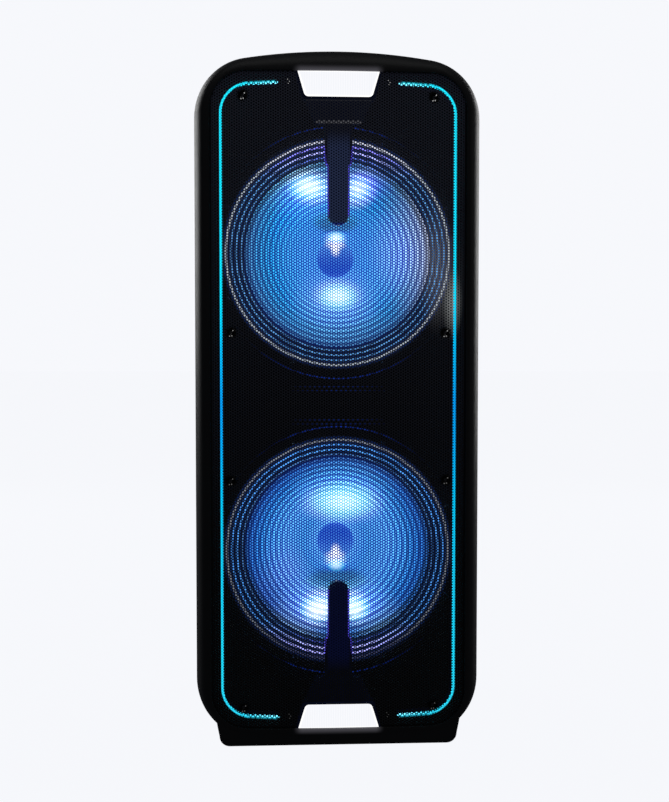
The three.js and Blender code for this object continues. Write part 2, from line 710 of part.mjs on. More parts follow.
function makeDisplay() {
  const outside = PANEL.y[1];
  return block([-DISPLAY.halfWidth, DISPLAY.halfWidth], [outside - 2.7, outside + 0.2], DISPLAY.z);
}

// A knob on its own axis: skirt, grip with a cut for the pointer, and the shaft that enters the panel.
function makeKnob({ radius, height }) {
  const base = PANEL.y[1] + 0.4;
  const top = base + height;
  const body = turned(
    [
      [0, base - 3.4],
      [KNOB_SHAFT, base - 3.4],
      [KNOB_SHAFT, base],
      [radius, base],
      [radius, base + 2.5],
      [radius - 3, base + 4],
      [radius - 4, top],
      [0, top],
    ],
    "y",
    SMALL_ROUND,
  );
  return body.subtract(block([-0.9, 0.9], [top - 1.2, top + 1], [radius * 0.35, radius + 1]));
}

function makeButton() {
  const { radius, inside, outside } = BUTTON;
  const profile = [[0, inside], [radius, inside], [radius, outside - 1], [radius - 1, outside], [0, outside]];
  return turned(profile, "y", SMALL_ROUND);
}

function makeJack() {
  const [inside, outside] = PANEL.y;
  const { radius, bore } = JACK;
  const barrel = [[bore, outside + 2], [radius - 2, outside + 2], [radius - 2, outside + GAP]];
  const body = [[radius, outside + GAP], [radius, inside + 0.2], [bore, inside + 0.2]];
  return turned([...barrel, ...body], "y", SMALL_ROUND);
}

function makePort() {
  const { bore, wall, flange, inside } = PORT;
  const lip = BACK_Y + GAP;
  const outside = [[wall, inside], [wall, lip], [flange, lip], [flange, lip + 2.2]];
  const flare = [[bore + 7, lip + 3.4], [bore, lip - 8], [bore, inside]];
  return turned([...outside, ...flare], "y", 24);
}

function makeInlet() {
  const { x, z } = INLET;
  const flange = block([x - 20, x + 20], [BACK_Y + GAP, BACK_Y + 2.6], [z - 14, z + 14]);
  const body = block([x - 14, x + 14], [136, BACK_Y + 1], [z - 10, z + 10]);
  const socket = block([x - 10, x + 10], [141, BACK_Y + 5], [z - 6, z + 6]);
  return joined(flange, body).subtract(socket);
}

function makeRocker() {
  const { x, z } = SWITCH;
  return softBlock([x - 9, x + 9], [BACK_Y - 6, BACK_Y + 2.6], [z - 13, z + 13], 2, "x");
}

function makeBoard() {
  const board = block([-86, 86], [100, 102], [566, 800]);
  const transformer = block([-60, -10], [74, 101], [590, 640]);
  const heatSink = joined(
    block([10, 74], [96, 101], [590, 700]),
    ...Array.from({ length: 8 }, (_, i) => block([12 + i * 8, 15 + i * 8], [72, 97], [592, 698])),
  );
  const capacitors = [-48, -22].map((x) => moved(rod(10, 70, 101, "y", SMALL_ROUND), x, 0, 668));
  return joined(board, transformer, heatSink, ...capacitors);
}

function makeBattery() {
  const floorZ = CABINET_BOTTOM_Z + WALL + GAP;
  const top = floorZ + 94;
  const box = softBlock([-75.5, 75.5], [-5, 60], [floorZ, top], 4, "z");
  const posts = [-62, 62].map((x) => block([x - 4, x + 4], [2, 10], [top - 1, top + 6]));
  return joined(box, ...posts);
}

// ---------------------------------------------------------------- assembly
const speaker = new THREE.Group();

function add(name, solid, look, parent = speaker) {
  const mesh = new THREE.Mesh(geometryOf(solid), look);
  mesh.name = name;
  parent.add(mesh);
  return mesh;
}

function addFront() {
  add("front_bezel", makeBezel(), LOOK.cabinet);
  add("front_baffle", makeBaffle(), LOOK.cabinet);
  add("grille", makeGrille(), LOOK.grille);
  for (const [word, side] of [["upper", 1], ["lower", -1]]) {
    add(word + "_light_arm", makeArm(side), LOOK.arm);
    add(word + "_strobe_lens", makeStrobeLens(side), LOOK.strobe);
    add(word + "_spot_lens", makeSpotLens(side), LOOK.spot);
  }
  add("left_light_strip", makeStrip(-1), LOOK.strip);
  add("right_light_strip", makeStrip(1), LOOK.strip);
}

function addWoofer(word, offset) {
  const woofer = new THREE.Group();
  woofer.position.z = CENTRE_Z + offset;
  add(word + "_woofer_frame", makeWooferFrame(), LOOK.frame, woofer);
  add(word + "_cone", makeCone(), LOOK.cone, woofer);
  add(word + "_surround", makeSurround(), LOOK.surround, woofer);
  add(word + "_dust_cap", makeDustCap(), LOOK.cap, woofer);
  add(word + "_voice_coil", makeVoiceCoil(), LOOK.coil, woofer);
  add(word + "_spider", makeSpider(), LOOK.spider, woofer);
  add(word + "_top_plate", makeTopPlate(), LOOK.steel, woofer);
  add(word + "_magnet", makeMagnet(), LOOK.magnet, woofer);
  add(word + "_yoke", makeYoke(), LOOK.steel, woofer);
  speaker.add(woofer);
}

function addBase() {
  add("base_plinth", makePlinth(), LOOK.cabinet);
  for (const [where, span] of [["front", FOOT.front], ["back", FOOT.back]]) {
    for (const [word, side] of [["left", -1], ["right", 1]]) {
      add(`${where}_${word}_foot`, makeFoot(span), LOOK.rubber).position.x = side * FOOT.x;
    }
  }
  const axleLine = new THREE.Group();
  axleLine.position.set(0, WHEEL.y, WHEEL.z);
  add("wheel_axle", makeAxle(), LOOK.steel, axleLine);
  for (const [word, side] of [["left", -1], ["right", 1]]) {
    const wheel = new THREE.Group();
    wheel.position.x = side * WHEEL.x;
    add(word + "_wheel_tyre", makeTyre(), LOOK.rubber, wheel);
    add(word + "_wheel_hub", makeHub(), LOOK.hub, wheel);
    axleLine.add(wheel);
  }
  speaker.add(axleLine);
}

function addHandle() {
  for (const [word, side] of [["left", -1], ["right", 1]]) {
    add(word + "_handle_sleeve", makeSleeve(), LOOK.tube).position.set(side * TUBE_X, TUBE_Y, 0);
    add(word + "_handle_tube", makeInnerTube(), LOOK.tube).position.set(side * TUBE_X, TUBE_Y, 0);
  }
  add("handle_grip", makeGrip(), LOOK.cabinet);
  add("handle_button", makeGripButton(), LOOK.button);
}

function addControls() {
  add("control_panel", makePanel(), LOOK.panel);
  add("display_window", makeDisplay(), LOOK.display);
  for (const [name, knob] of Object.entries(KNOBS)) {
    add(name, makeKnob(knob), LOOK.knob).position.set(knob.x, 0, knob.z);
  }
  for (const [name, [x, z]] of Object.entries(BUTTONS)) {
    add(name, makeButton(), LOOK.button).position.set(x, 0, z);
  }
  add("mic_jack", makeJack(), LOOK.steel).position.set(JACK.x, 0, JACK.z);
  add("power_switch", makeRocker(), LOOK.button);
  add("mains_inlet", makeInlet(), LOOK.panel);
  add("amplifier_board", makeBoard(), LOOK.board);
  add("battery", makeBattery(), LOOK.battery);
}

addFront();
addWoofer("upper", WOOFER_OFFSET);
addWoofer("lower", -WOOFER_OFFSET);
add("rear_shell", makeRearShell(), LOOK.cabinet);
addBase();
addHandle();
addControls();
add("port_tube", makePort(), LOOK.cabinet).position.z = PORT.z;

export default speaker;
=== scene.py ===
"""The looks of a party speaker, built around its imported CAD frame.

Sizes are in millimetres until a mesh is made, and MM turns them into metres. +Z is up, the front
faces -Y, and the origin is on the floor under the middle of the cabinet.
"""

import math

import bmesh
import bpy
import numpy as np
from mathutils import Matrix, Vector


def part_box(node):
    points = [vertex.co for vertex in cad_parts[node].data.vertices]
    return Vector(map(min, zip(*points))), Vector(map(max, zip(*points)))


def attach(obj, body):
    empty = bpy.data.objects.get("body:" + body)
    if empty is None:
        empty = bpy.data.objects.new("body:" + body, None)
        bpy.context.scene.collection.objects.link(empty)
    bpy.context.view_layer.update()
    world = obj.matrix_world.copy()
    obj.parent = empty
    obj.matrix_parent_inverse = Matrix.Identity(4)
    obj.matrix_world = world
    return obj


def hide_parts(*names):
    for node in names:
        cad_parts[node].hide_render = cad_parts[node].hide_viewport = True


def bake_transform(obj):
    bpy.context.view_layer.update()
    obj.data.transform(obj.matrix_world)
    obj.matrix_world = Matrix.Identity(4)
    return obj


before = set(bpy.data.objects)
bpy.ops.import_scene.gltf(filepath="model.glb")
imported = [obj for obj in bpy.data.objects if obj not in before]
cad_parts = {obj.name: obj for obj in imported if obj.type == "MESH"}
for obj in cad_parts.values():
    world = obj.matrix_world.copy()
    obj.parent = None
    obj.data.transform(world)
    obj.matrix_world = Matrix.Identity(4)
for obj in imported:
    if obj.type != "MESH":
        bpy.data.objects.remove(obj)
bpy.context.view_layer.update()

MM = 0.001
ROOT = "root"


# ---------------------------------------------------------------- sizes read from the frame
def box_mm(node):
    """A node's lowest and highest corners in millimetres."""
    low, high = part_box(node)
    return [v / MM for v in low], [v / MM for v in high]


def centre_mm(node):
    low, high = box_mm(node)
    return [(a + b) / 2 for a, b in zip(low, high)]


BEZEL_LOW, BEZEL_HIGH = box_mm("front_bezel")
GRILLE_LOW, GRILLE_HIGH = box_mm("grille")
UPPER_Z = centre_mm("upper_cone")[2]
LOWER_Z = centre_mm("lower_cone")[2]
CENTRE_Z = (UPPER_Z + LOWER_Z) / 2  # the front's line of symmetry
WOOFERS = {"upper": (1, UPPER_Z), "lower": (-1, LOWER_Z)}  # (side, height)
FRONT_Y = BEZEL_LOW[1]
HALF_WIDTH = BEZEL_HIGH[0]
TOP_Z = BEZEL_HIGH[2]
BACK_Y = box_mm("rear_shell")[1][1]
CABINET_BOTTOM_Z = BEZEL_LOW[2]

# The cabinet's and the opening's outlines: straight sides, corner arcs and shallow arches.
CABINET_CENTRE_Z = 441.5
CABINET_HALF_HEIGHT = TOP_Z - CABINET_CENTRE_Z
CABINET = {"half_width": HALF_WIDTH, "half_height": CABINET_HALF_HEIGHT, "arch": 690, "corner": 77.5}
OPENING = {"half_width": 161, "half_height": 415, "arch": 4800, "corner": 46}
STRIP = {"half_width": 147.8, "half_height": 403.4, "arch": 1640, "corner": 35}
CORNER_STEPS = 20
ARCH_STEPS = 12

# The strobe panels' trapezoids, widest at the rim, about the front's middle.
STROBE = {"inner_half": 41.0, "outer_half": 51.7, "outer_z": 416.0, "round": 6.0}
STROBE_INNER_Z = {1: 383.6, -1: 385.1}  # of the upper (1) and the lower (-1) panel
STROBE_SLOPE = (STROBE["outer_half"] - STROBE["inner_half"]) / (STROBE["outer_z"] - STROBE_INNER_Z[1])


# ---------------------------------------------------------------- camera
AIM = Vector((-5.1, -162.0, 441.6)) * MM
CAMERA_DISTANCE = 1.3
CAMERA_AZIMUTH = math.radians(-2.687)
CAMERA_ELEVATION = math.radians(2.114)
SENSOR = 36.0
LENS = 46.05


def make_camera():
    data = bpy.data.cameras.new("camera")
    data.sensor_fit = "VERTICAL"
    data.sensor_height = SENSOR
    data.lens = LENS
    camera = bpy.data.objects.new("camera", data)
    bpy.context.scene.collection.objects.link(camera)
    level = math.cos(CAMERA_ELEVATION)
    away = Vector((
        math.sin(CAMERA_AZIMUTH) * level,
        -math.cos(CAMERA_AZIMUTH) * level,
        math.sin(CAMERA_ELEVATION),
    ))
    camera.location = AIM + away * CAMERA_DISTANCE
    camera.rotation_euler = (-away).to_track_quat("-Z", "Y").to_euler()
    bpy.context.scene.camera = camera


make_camera()


# ---------------------------------------------------------------- mesh helpers
def mesh_piece(name, points, faces):
    """A mesh object from points in millimetres, its faces turned to point out."""
    mesh = bpy.data.meshes.new(name)
    mesh.from_pydata([tuple(c * MM for c in p) for p in points], [], faces)
    piece = bpy.data.objects.new(name, mesh)
    bpy.context.scene.collection.objects.link(piece)
    tidy(piece)
    return piece


def tidy(piece):
    shape = bmesh.new()
    shape.from_mesh(piece.data)
    bmesh.ops.remove_doubles(shape, verts=shape.verts, dist=1e-6)
    bmesh.ops.dissolve_degenerate(shape, edges=shape.edges, dist=1e-7)
    bmesh.ops.recalc_face_normals(shape, faces=shape.faces)
    shape.to_mesh(piece.data)
    shape.free()


def applied(piece):
    """Makes the modifiers' result the piece's own mesh."""
    graph = bpy.context.evaluated_depsgraph_get()
    mesh = bpy.data.meshes.new_from_object(piece.evaluated_get(graph))
    piece.modifiers.clear()
    piece.data = mesh
    return piece


def shaded(piece, angle=32):
    """Smooth shading, with edges sharper than an angle in degrees kept crisp."""
    piece.data.shade_smooth()
    piece.data.set_sharp_from_angle(angle=math.radians(angle))
    weighted = piece.modifiers.new("normals", "WEIGHTED_NORMAL")
    weighted.keep_sharp = True
    return applied(piece)


def bevelled(piece, width, segments=3, angle=35):
    bevel = piece.modifiers.new("bevel", "BEVEL")
    bevel.width = width * MM
    bevel.segments = segments
    bevel.limit_method = "ANGLE"
    bevel.angle_limit = math.radians(angle)
    bevel.miter_outer = "MITER_ARC"
    return applied(piece)


def carved(piece, *cutters, operation="DIFFERENCE"):
    for cutter in cutters:
        boolean = piece.modifiers.new("carve", "BOOLEAN")
        boolean.operation = operation
        boolean.solver = "EXACT"
        boolean.object = cutter
        applied(piece)
        bpy.data.objects.remove(cutter)
    return piece


def joined(name, pieces):
    """One piece that holds several pieces' meshes."""
    shape = bmesh.new()
    for piece in pieces:
        shape.from_mesh(piece.data)
        bpy.data.objects.remove(piece)
    mesh = bpy.data.meshes.new(name)
    shape.to_mesh(mesh)
    shape.free()
    whole = bpy.data.objects.new(name, mesh)
    bpy.context.scene.collection.objects.link(whole)
    return whole


def loft(name, rings, looped=False):
    """Joins rings of points into a closed solid. A looped loft joins its last ring to its first."""
    count = len(rings[0])
    points = [p for ring in rings for p in ring]
    faces = []
    spans = len(rings) if looped else len(rings) - 1
    for r in range(spans):
        here = r * count
        there = ((r + 1) % len(rings)) * count
        for i in range(count):
            j = (i + 1) % count
            faces.append((here + i, here + j, there + j, there + i))
    if not looped:
        faces.append(tuple(range(count)))
        faces.append(tuple(range(len(points) - count, len(points))))
    return mesh_piece(name, points, faces)


def turned(name, profile, centre=(0, 0, 0), axis="y", segments=96):
    """A turned solid from a closed profile of (radius, place along the axis)."""
    rings = []
    for i in range(segments):
        angle = 2 * math.pi * i / segments
        c, s = math.cos(angle), math.sin(angle)
        place = {
            "x": lambda r, a: (a, r * c, r * s),
            "y": lambda r, a: (r * c, a, r * s),
            "z": lambda r, a: (r * c, r * s, a),
        }[axis]
        rings.append([tuple(o + v for o, v in zip(centre, place(r, a))) for r, a in profile])
    return loft(name, rings, looped=True)


def rod(name, radius, start, end, centre, axis="y", segments=40):
    """A plain cylinder between two places along an axis."""
    return turned(name, [(0, start), (radius, start), (radius, end), (0, end)], centre, axis, segments)


def block(name, low, high):
    (x0, y0, z0), (x1, y1, z1) = low, high
    lower = [(x0, y0, z0), (x1, y0, z0), (x1, y1, z0), (x0, y1, z0)]
    upper = [(x, y, z1) for x, y, _ in lower]
    return loft(name, [lower, upper])


def soft_block(name, low, high, radius, segments=4):
    return bevelled(block(name, low, high), radius, segments)


def slab(name, place, half, y0, y1, radius=0, segments=4):
    """A block parallel to the front, from its middle (x, z) and its half sizes."""
    (x, z), (half_x, half_z) = place, half
    piece = block(name, (x - half_x, y0, z - half_z), (x + half_x, y1, z + half_z))
    return bevelled(piece, radius, segments) if radius else piece


def rounded(piece, axis, radius, segments=8):
    """Rounds a block's four edges that run along an axis."""
    shape = bmesh.new()
    shape.from_mesh(piece.data)
    which = "xyz".index(axis)
    along = [e for e in shape.edges if abs((e.verts[0].co - e.verts[1].co).normalized()[which]) > 0.99]
    offset = radius * MM
    bmesh.ops.bevel(shape, geom=along, offset=offset, segments=segments, profile=0.5, affect="EDGES")
    shape.to_mesh(piece.data)
    shape.free()
    return piece


def moved(piece, axis, angle, offset):
    """Turns a piece about an axis through the origin by radians, then moves it by millimetres."""
    piece.data.transform(Matrix.Rotation(angle, 4, axis))
    piece.data.transform(Matrix.Translation([v * MM for v in offset]))
    return piece


def plate(name, outline, y0, y1):
    """A plate parallel to the front, from a list of (x, z)."""
    return loft(name, [[(x, y, z) for x, z in outline] for y in (y0, y1)])


def arc(centre, radius, start, end, steps):
    """Points (x, z) of an arc between two angles in degrees."""
    angles = [math.radians(start + (end - start) * i / steps) for i in range(steps + 1)]
    return [(centre[0] + radius * math.cos(a), centre[1] + radius * math.sin(a)) for a in angles]


def settle(piece, look, *nodes, body=ROOT):
    """Gives a piece its material and its body, and hides the CAD nodes that it stands for."""
    slot, material = LOOK[look]
    piece.data.materials.clear()
    piece.data.materials.append(material)
    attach(piece, body)
    if nodes:
        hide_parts(*nodes)
    return piece


def dress(look, *nodes):
    """CAD nodes that keep their shape get a material."""
    material = LOOK[look][1]
    for node in nodes:
        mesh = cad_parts[node].data
        for i in range(len(mesh.materials)):
            mesh.materials[i] = material
        if not mesh.materials:
            mesh.materials.append(material)


# ---------------------------------------------------------------- outlines
def quarter(outline, grow=0.0, end_x=0.0, corner_steps=CORNER_STEPS, arch_steps=ARCH_STEPS):
    """One quarter of an outline, from its straight side to its arch at x = end_x."""
    half_width = outline["half_width"] + grow
    half_height = outline["half_height"] + grow
    arch = outline["arch"] + grow
    corner = outline["corner"] + grow
    corner_x = half_width - corner
    arch_z = half_height - arch
    corner_z = arch_z + math.sqrt((arch - corner) ** 2 - corner_x ** 2)
    meet = math.degrees(math.atan2(corner_z - arch_z, corner_x))
    end = math.degrees(math.acos(end_x / arch))
    side = arc((corner_x, corner_z), corner, 0, meet, corner_steps)[:-1]
    return side + arc((0, arch_z), arch, meet, end, arch_steps)


def outline_points(outline, grow=0.0):
    """The whole outline about its centre, anticlockwise from the right side."""
    first = quarter(outline, grow)
    upper = first + [(-x, z) for x, z in first[-2::-1]]
    return upper + [(-x, -z) for x, z in upper]


def front_ring(share, y, floor_z, grow=0.0):
    """A ring part of the way from the cabinet's outline to the opening's."""
    outer = outline_points(CABINET, grow)
    inner = outline_points(OPENING, grow)
    ring = []
    for (x0, z0), (x1, z1) in zip(outer, inner):
        height = (CABINET_CENTRE_Z + z0) * (1 - share) + (CENTRE_Z + z1) * share
        ring.append((x0 + (x1 - x0) * share, y, max(height, floor_z)))
    return ring


def shell_ring(inset, y, floor_z):
    return [(x, y, max(CABINET_CENTRE_Z + z, floor_z)) for x, z in outline_points(CABINET, -inset)]


# ---------------------------------------------------------------- material helpers
BLACK = (0.0, 0.0, 0.0)


class Nodes:
    """A material's nodes, with short calls for the ones that these materials use."""

    def __init__(self, name):
        self.material = bpy.data.materials.new(name)
        self.material.use_nodes = True
        self.tree = self.material.node_tree
        self.shader = self.tree.nodes["Principled BSDF"]
        self.place = self.add("ShaderNodeTexCoord").outputs["Object"]

    def add(self, kind, **settings):
        node = self.tree.nodes.new(kind)
        for key, value in settings.items():
            setattr(node, key, value)
        return node

    def feed(self, socket, value):
        """Links an output to a socket, or sets the socket's value. Colours go without their alpha."""
        if isinstance(value, bpy.types.NodeSocket):
            self.tree.links.new(value, socket)
        elif socket.type == "RGBA":
            socket.default_value = (*value, 1.0)
        else:
            socket.default_value = value

    def set(self, **values):
        for key, value in values.items():
            self.feed(self.shader.inputs[key.replace("_", " ")], value)
        return self

    def math(self, operation, *values):
        node = self.add("ShaderNodeMath", operation=operation)
        for socket, value in zip(node.inputs, values):
            self.feed(socket, value)
        return node.outputs[0]

    def vector(self, operation, *values):
        node = self.add("ShaderNodeVectorMath", operation=operation)
        for socket, value in zip(node.inputs, values):
            self.feed(socket, value)
        return node.outputs["Value" if operation in ("LENGTH", "DISTANCE", "DOT_PRODUCT") else "Vector"]

    def axes(self, vector=None):
        node = self.add("ShaderNodeSeparateXYZ")
        self.feed(node.inputs[0], vector or self.place)
        return node.outputs

    def remap(self, value, low, high, to_low=0.0, to_high=1.0, smooth=True):
        node = self.add("ShaderNodeMapRange", interpolation_type="SMOOTHSTEP" if smooth else "LINEAR")
        limits = {"From Min": low, "From Max": high, "To Min": to_low, "To Max": to_high}
        for key, number in limits.items():
            node.inputs[key].default_value = number
        self.feed(node.inputs["Value"], value)
        return node.outputs[0]

    def noise(self, size_mm, detail=2.0, rough=0.5, vector=None):
        """Noise with features of about a size in millimetres."""
        node = self.add("ShaderNodeTexNoise")
        node.inputs["Scale"].default_value = 1.0 / (size_mm * MM)
        node.inputs["Detail"].default_value = detail
        node.inputs["Roughness"].default_value = rough
        self.feed(node.inputs["Vector"], vector or self.place)
        return node.outputs["Fac"]

    def ramp(self, value, stops):
        """A colour ramp from a list of (place, (r, g, b))."""
        node = self.add("ShaderNodeValToRGB")
        elements = node.color_ramp.elements
        while len(elements) < len(stops):
            elements.new(1.0)
        for element, (place, colour) in zip(elements, stops):
            element.position = place
            element.color = (*colour, 1.0)
        self.feed(node.inputs[0], value)
        return node.outputs[0]

    def blend(self, share, a, b, mode="MIX"):
        node = self.add("ShaderNodeMix", data_type="RGBA", blend_type=mode)
        node.clamp_result = False
        self.feed(node.inputs[0], share)
        self.feed(node.inputs[6], a)
        self.feed(node.inputs[7], b)
        return node.outputs[2]

    def grey(self, value):
        """A number as a grey colour."""
        node = self.add("ShaderNodeCombineXYZ")
        for socket in node.inputs:
            self.feed(socket, value)
        return node.outputs[0]

    def dimmed(self, colour, share):
        return self.blend(1.0, colour, self.grey(share), "MULTIPLY")

    def lit(self, light, share, colour):
        """Adds a share of a colour to the light."""
        return self.blend(1.0, light, self.blend(share, BLACK, colour), "ADD")

    def bump(self, height, depth_mm, strength=1.0):
        node = self.add("ShaderNodeBump")
        node.inputs["Strength"].default_value = strength
        node.inputs["Distance"].default_value = depth_mm * MM
        self.feed(node.inputs["Height"], height)
        self.feed(self.shader.inputs["Normal"], node.outputs[0])
        return self

    def glow(self, colour, strength=1.0):
        self.feed(self.shader.inputs["Emission Color"], colour)
        self.feed(self.shader.inputs["Emission Strength"], strength)
        return self


def grey(level, tint=0.0):
    """A near-black or grey colour, a little blue where tint is above 0."""
    return (level, level, level * (1 + tint))


def moulded_plastic(name, level=0.016, rough=0.52, grain_mm=0.55, depth_mm=0.035):
    """Black plastic with a fine moulded grain and faintly uneven patches."""
    n = Nodes(name)
    grain = n.noise(grain_mm, 3.0, 0.6)
    patches = n.noise(60.0, 2.0)
    colour = n.blend(n.remap(patches, 0.35, 0.7), grey(level * 0.94, 0.04), grey(level * 1.07, 0.06))
    n.set(Base_Color=colour, Roughness=n.remap(patches, 0.3, 0.7, rough - 0.012, rough + 0.015))
    return n.bump(grain, depth_mm)


def smooth_plastic(name, colour, rough, wear_mm=6.0, coat=0.0):
    """Satin or glossy plastic with faint handling marks in its roughness."""
    n = Nodes(name)
    marks = n.noise(wear_mm, 4.0, 0.65)
    dark, light = (tuple(c * share for c in colour) for share in (0.92, 1.08))
    n.set(Base_Color=n.blend(n.remap(marks, 0.3, 0.75), dark, light))
    n.set(Roughness=n.remap(marks, 0.3, 0.75, rough * 0.93, rough * 1.08))
    if coat:
        n.shader.inputs["Coat Weight"].default_value = coat
        n.shader.inputs["Coat Roughness"].default_value = 0.08
    return n.bump(marks, 0.004, 0.3)


def rubber(name, level=0.014):
    n = Nodes(name)
    speckle = n.noise(0.8, 4.0, 0.7)
    dust = n.noise(14.0, 3.0)
    n.set(Base_Color=n.blend(n.remap(dust, 0.45, 0.8), grey(level), grey(level * 2.2, -0.04)))
    n.set(Roughness=n.remap(speckle, 0.2, 0.8, 0.72, 0.92))
    return n.bump(speckle, 0.05)


def brushed_metal(name, colour, rough=0.28, along="x"):
    """Metal with fine scratches that run along one axis."""
    n = Nodes(name)
    stretch = {"x": (0.02, 1, 1), "z": (1, 1, 0.02)}[along]
    scratches = n.noise(0.35, 3.0, 0.7, n.vector("MULTIPLY", n.place, stretch))
    smudges = n.noise(18.0, 3.0)
    dull = tuple(c * 0.9 for c in colour)
    n.set(Base_Color=n.blend(n.remap(smudges, 0.3, 0.75), dull, colour), Metallic=1.0)
    n.set(Roughness=n.remap(scratches, 0.2, 0.8, rough * 0.85, rough * 1.2))
    return n.bump(scratches, 0.002, 0.4)


def painted_metal(name, level, rough=0.42):
    """Powder coat: a fine orange-peel surface."""
    n = Nodes(name)
    peel = n.noise(0.4, 2.0)
    n.set(Base_Color=n.blend(n.noise(30.0), grey(level * 0.8, 0.05), grey(level * 1.25, 0.1)))
    n.set(Roughness=n.remap(peel, 0.25, 0.75, rough - 0.07, rough + 0.08))
    return n.bump(peel, 0.02)


def from_centre(n, x, z):
    """A point's offset from (x, z) in the plane of the front, in metres."""
    return n.vector("SUBTRACT", n.vector("MULTIPLY", n.place, (1, 0, 1)), (x * MM, 0, z * MM))


def lobe(n, x, z, radius, stretch=(1.0, 1.0)):
    """A soft round spot of light: 1 at (x, z), 0 past a radius in millimetres."""
    offset = n.vector("MULTIPLY", from_centre(n, x, z), (1 / stretch[0], 0, 1 / stretch[1]))
    return n.remap(n.vector("LENGTH", offset), radius * MM, 0.0)


# ---------------------------------------------------------------- lamps, and materials with painted light and shade
# In what follows, 1 stands for the upper woofer or panel and -1 for the lower one.
CONE_OUTER = 123.0
RIB_PITCH = 7.0
# Depth of the painted shade between each cone's ribs.
RIB_SHADE = {1: 0.62, -1: 0.72}
GLOW_GAIN = (1.36, 1.36, 1.27)
CONE_BASE = (0.06, 0.09, 0.16)
# Painted light from each cone's neck to its rim.
CONE_GLOW = {
    1: [(0.0, (0.09, 0.40, 0.90)), (0.3, (0.08, 0.43, 0.94)), (0.55, (0.05, 0.43, 0.88)),
        (0.69, (0.02, 0.36, 0.80)), (0.81, (0.03, 0.30, 0.62)), (0.92, (0.05, 0.21, 0.42)),
        (1.0, (0.02, 0.06, 0.18))],
    -1: [(0.0, (0.12, 0.46, 0.90)), (0.23, (0.12, 0.48, 0.93)), (0.34, (0.07, 0.40, 0.86)),
         (0.55, (0.12, 0.48, 0.93)), (0.69, (0.08, 0.42, 0.87)), (0.81, (0.03, 0.25, 0.68)),
         (0.92, (0.02, 0.13, 0.44)), (1.0, (0.01, 0.04, 0.18))],
}
# Painted pools of light as (x, distance towards the arm's root, radius, stretch, colour).
CONE_LIGHTS = {
    1: [(-34, 88, 31, (1.2, 0.8), (1.3, 1.3, 0.8)), (27, 86, 30, (1.0, 0.9), (1.1, 1.1, 0.7)),
        (-46, 88, 60, (1.0, 0.8), (0.15, 0.30, 0.42)), (100, 8, 82, (0.8, 1.25), (0.32, 0.25, 0.24)),
        (-70, 66, 60, (1.0, 1.0), (0.0, 0.10, 0.16)), (40, 96, 44, (1.0, 0.8), (0.10, 0.10, 0.50)),
        (2, -49, 30, (1.3, 0.9), (0.85, 0.85, 0.25)), (2, -62, 76, (1.0, 0.8), (0.20, 0.20, 0.16)),
        (0, 26, 15, (1.2, 0.9), (1.2, 1.2, 0.6))],
    -1: [(-22, 82, 30, (1.1, 0.9), (1.4, 1.3, 0.6)), (22, 82, 28, (1.0, 0.9), (1.3, 1.3, 0.6)),
         (-40, 84, 54, (1.0, 0.8), (0.24, 0.32, 0.34)), (40, 82, 52, (1.0, 0.8), (0.20, 0.34, 0.34)),
         (8, -55, 46, (1.4, 0.8), (0.85, 0.85, 0.30)), (10, -70, 74, (1.1, 0.8), (0.10, 0.26, 0.22)),
         (-70, 40, 56, (0.8, 1.0), (0.08, 0.01, 0.04)), (0, 26, 15, (1.2, 0.9), (1.2, 1.2, 0.6))],
}
# Painted shadows as (x, distance towards the arm's root, radius, stretch, share of the light that is left).
CONE_SHADES = {
    1: [(0, 44, 26, (1.5, 0.7), 0.55)],
    -1: [(0, 44, 30, (1.7, 0.6), 0.5)],
}
# Painted brightness at the bottom of each surround, and its rings of painted light as (radius, half width,
# colour, colour beside the arm's root).
SURROUND_LOW = {1: 0.95, -1: 0.7}
SURROUND_RINGS = {
    1: [(142.6, 1.9, (0.48, 0.55, 0.63), (0.75, 0.78, 0.95)),
        (136.3, 1.4, (0.12, 0.36, 0.80), (0.40, 0.36, 1.60)),
        (129.8, 1.4, (0.14, 0.44, 0.95), (0.85, 0.85, 2.10)),
        (123.6, 1.3, (0.12, 0.36, 0.80), (0.16, 0.20, 1.10))],
    -1: [(142.6, 1.9, (0.24, 0.27, 0.33), (0.06, 0.07, 0.17)),
         (136.3, 1.5, (0.10, 0.42, 1.20), (0.95, 0.95, 2.40)),
         (129.8, 1.5, (0.12, 0.50, 1.35), (1.10, 1.10, 2.50)),
         (123.6, 1.2, (0.08, 0.24, 0.62), (0.09, 0.09, 0.80))],
}
# Painted highlights on a dust cap as (distance towards the arm's root, radius, stretch), and their colour.
CAP_HIGHLIGHTS = [(11.5, 11, (0.8, 1.1)), (20, 14, (1.3, 0.8))]
CAP_HIGHLIGHT_COLOUR = (1.8, 1.7, 1.0)
# Where each cone appears on the sheet in front of it, as seen from the front. The strands there glow
# with painted light: a share of the cone's light, and HOT_SHARE of what is brighter than white.
CONE_SEEN = {1: (-3.0, 622.5), -1: (-3.0, 258.0)}
STRAND_LIGHT_SHARE = (0.003, 0.02, 0.20)
HOT_SHARE = (0.55, 0.5, 0.7)
# Painted light on the strands in front of the lower and the upper arms.
LOWER_ARM_GLOW, UPPER_ARM_GLOW = (0.0003, 0.0012, 0.016), (0.009, 0.015, 0.042)
# A painted sheen that brightens the sheet towards the top.
TOP_SHEEN = (0.0050, 0.0056, 0.0095)
# Painted reflections of the room on the sheet, as (x, z, radius, stretch, colour).
GLARES = [
    (144, 566, 34, (0.42, 1.5), (0.17, 0.18, 0.18)),
    (122, 612, 62, (0.42, 1.5), (0.06, 0.06, 0.065)),
    (135, 596, 60, (0.5, 1.4), (0.02, 0.02, 0.02)),
]
STRIP_REACH = 406.0  # the strip's colours run from this far below the middle to as far above it
STROBE_RIB = 3.0


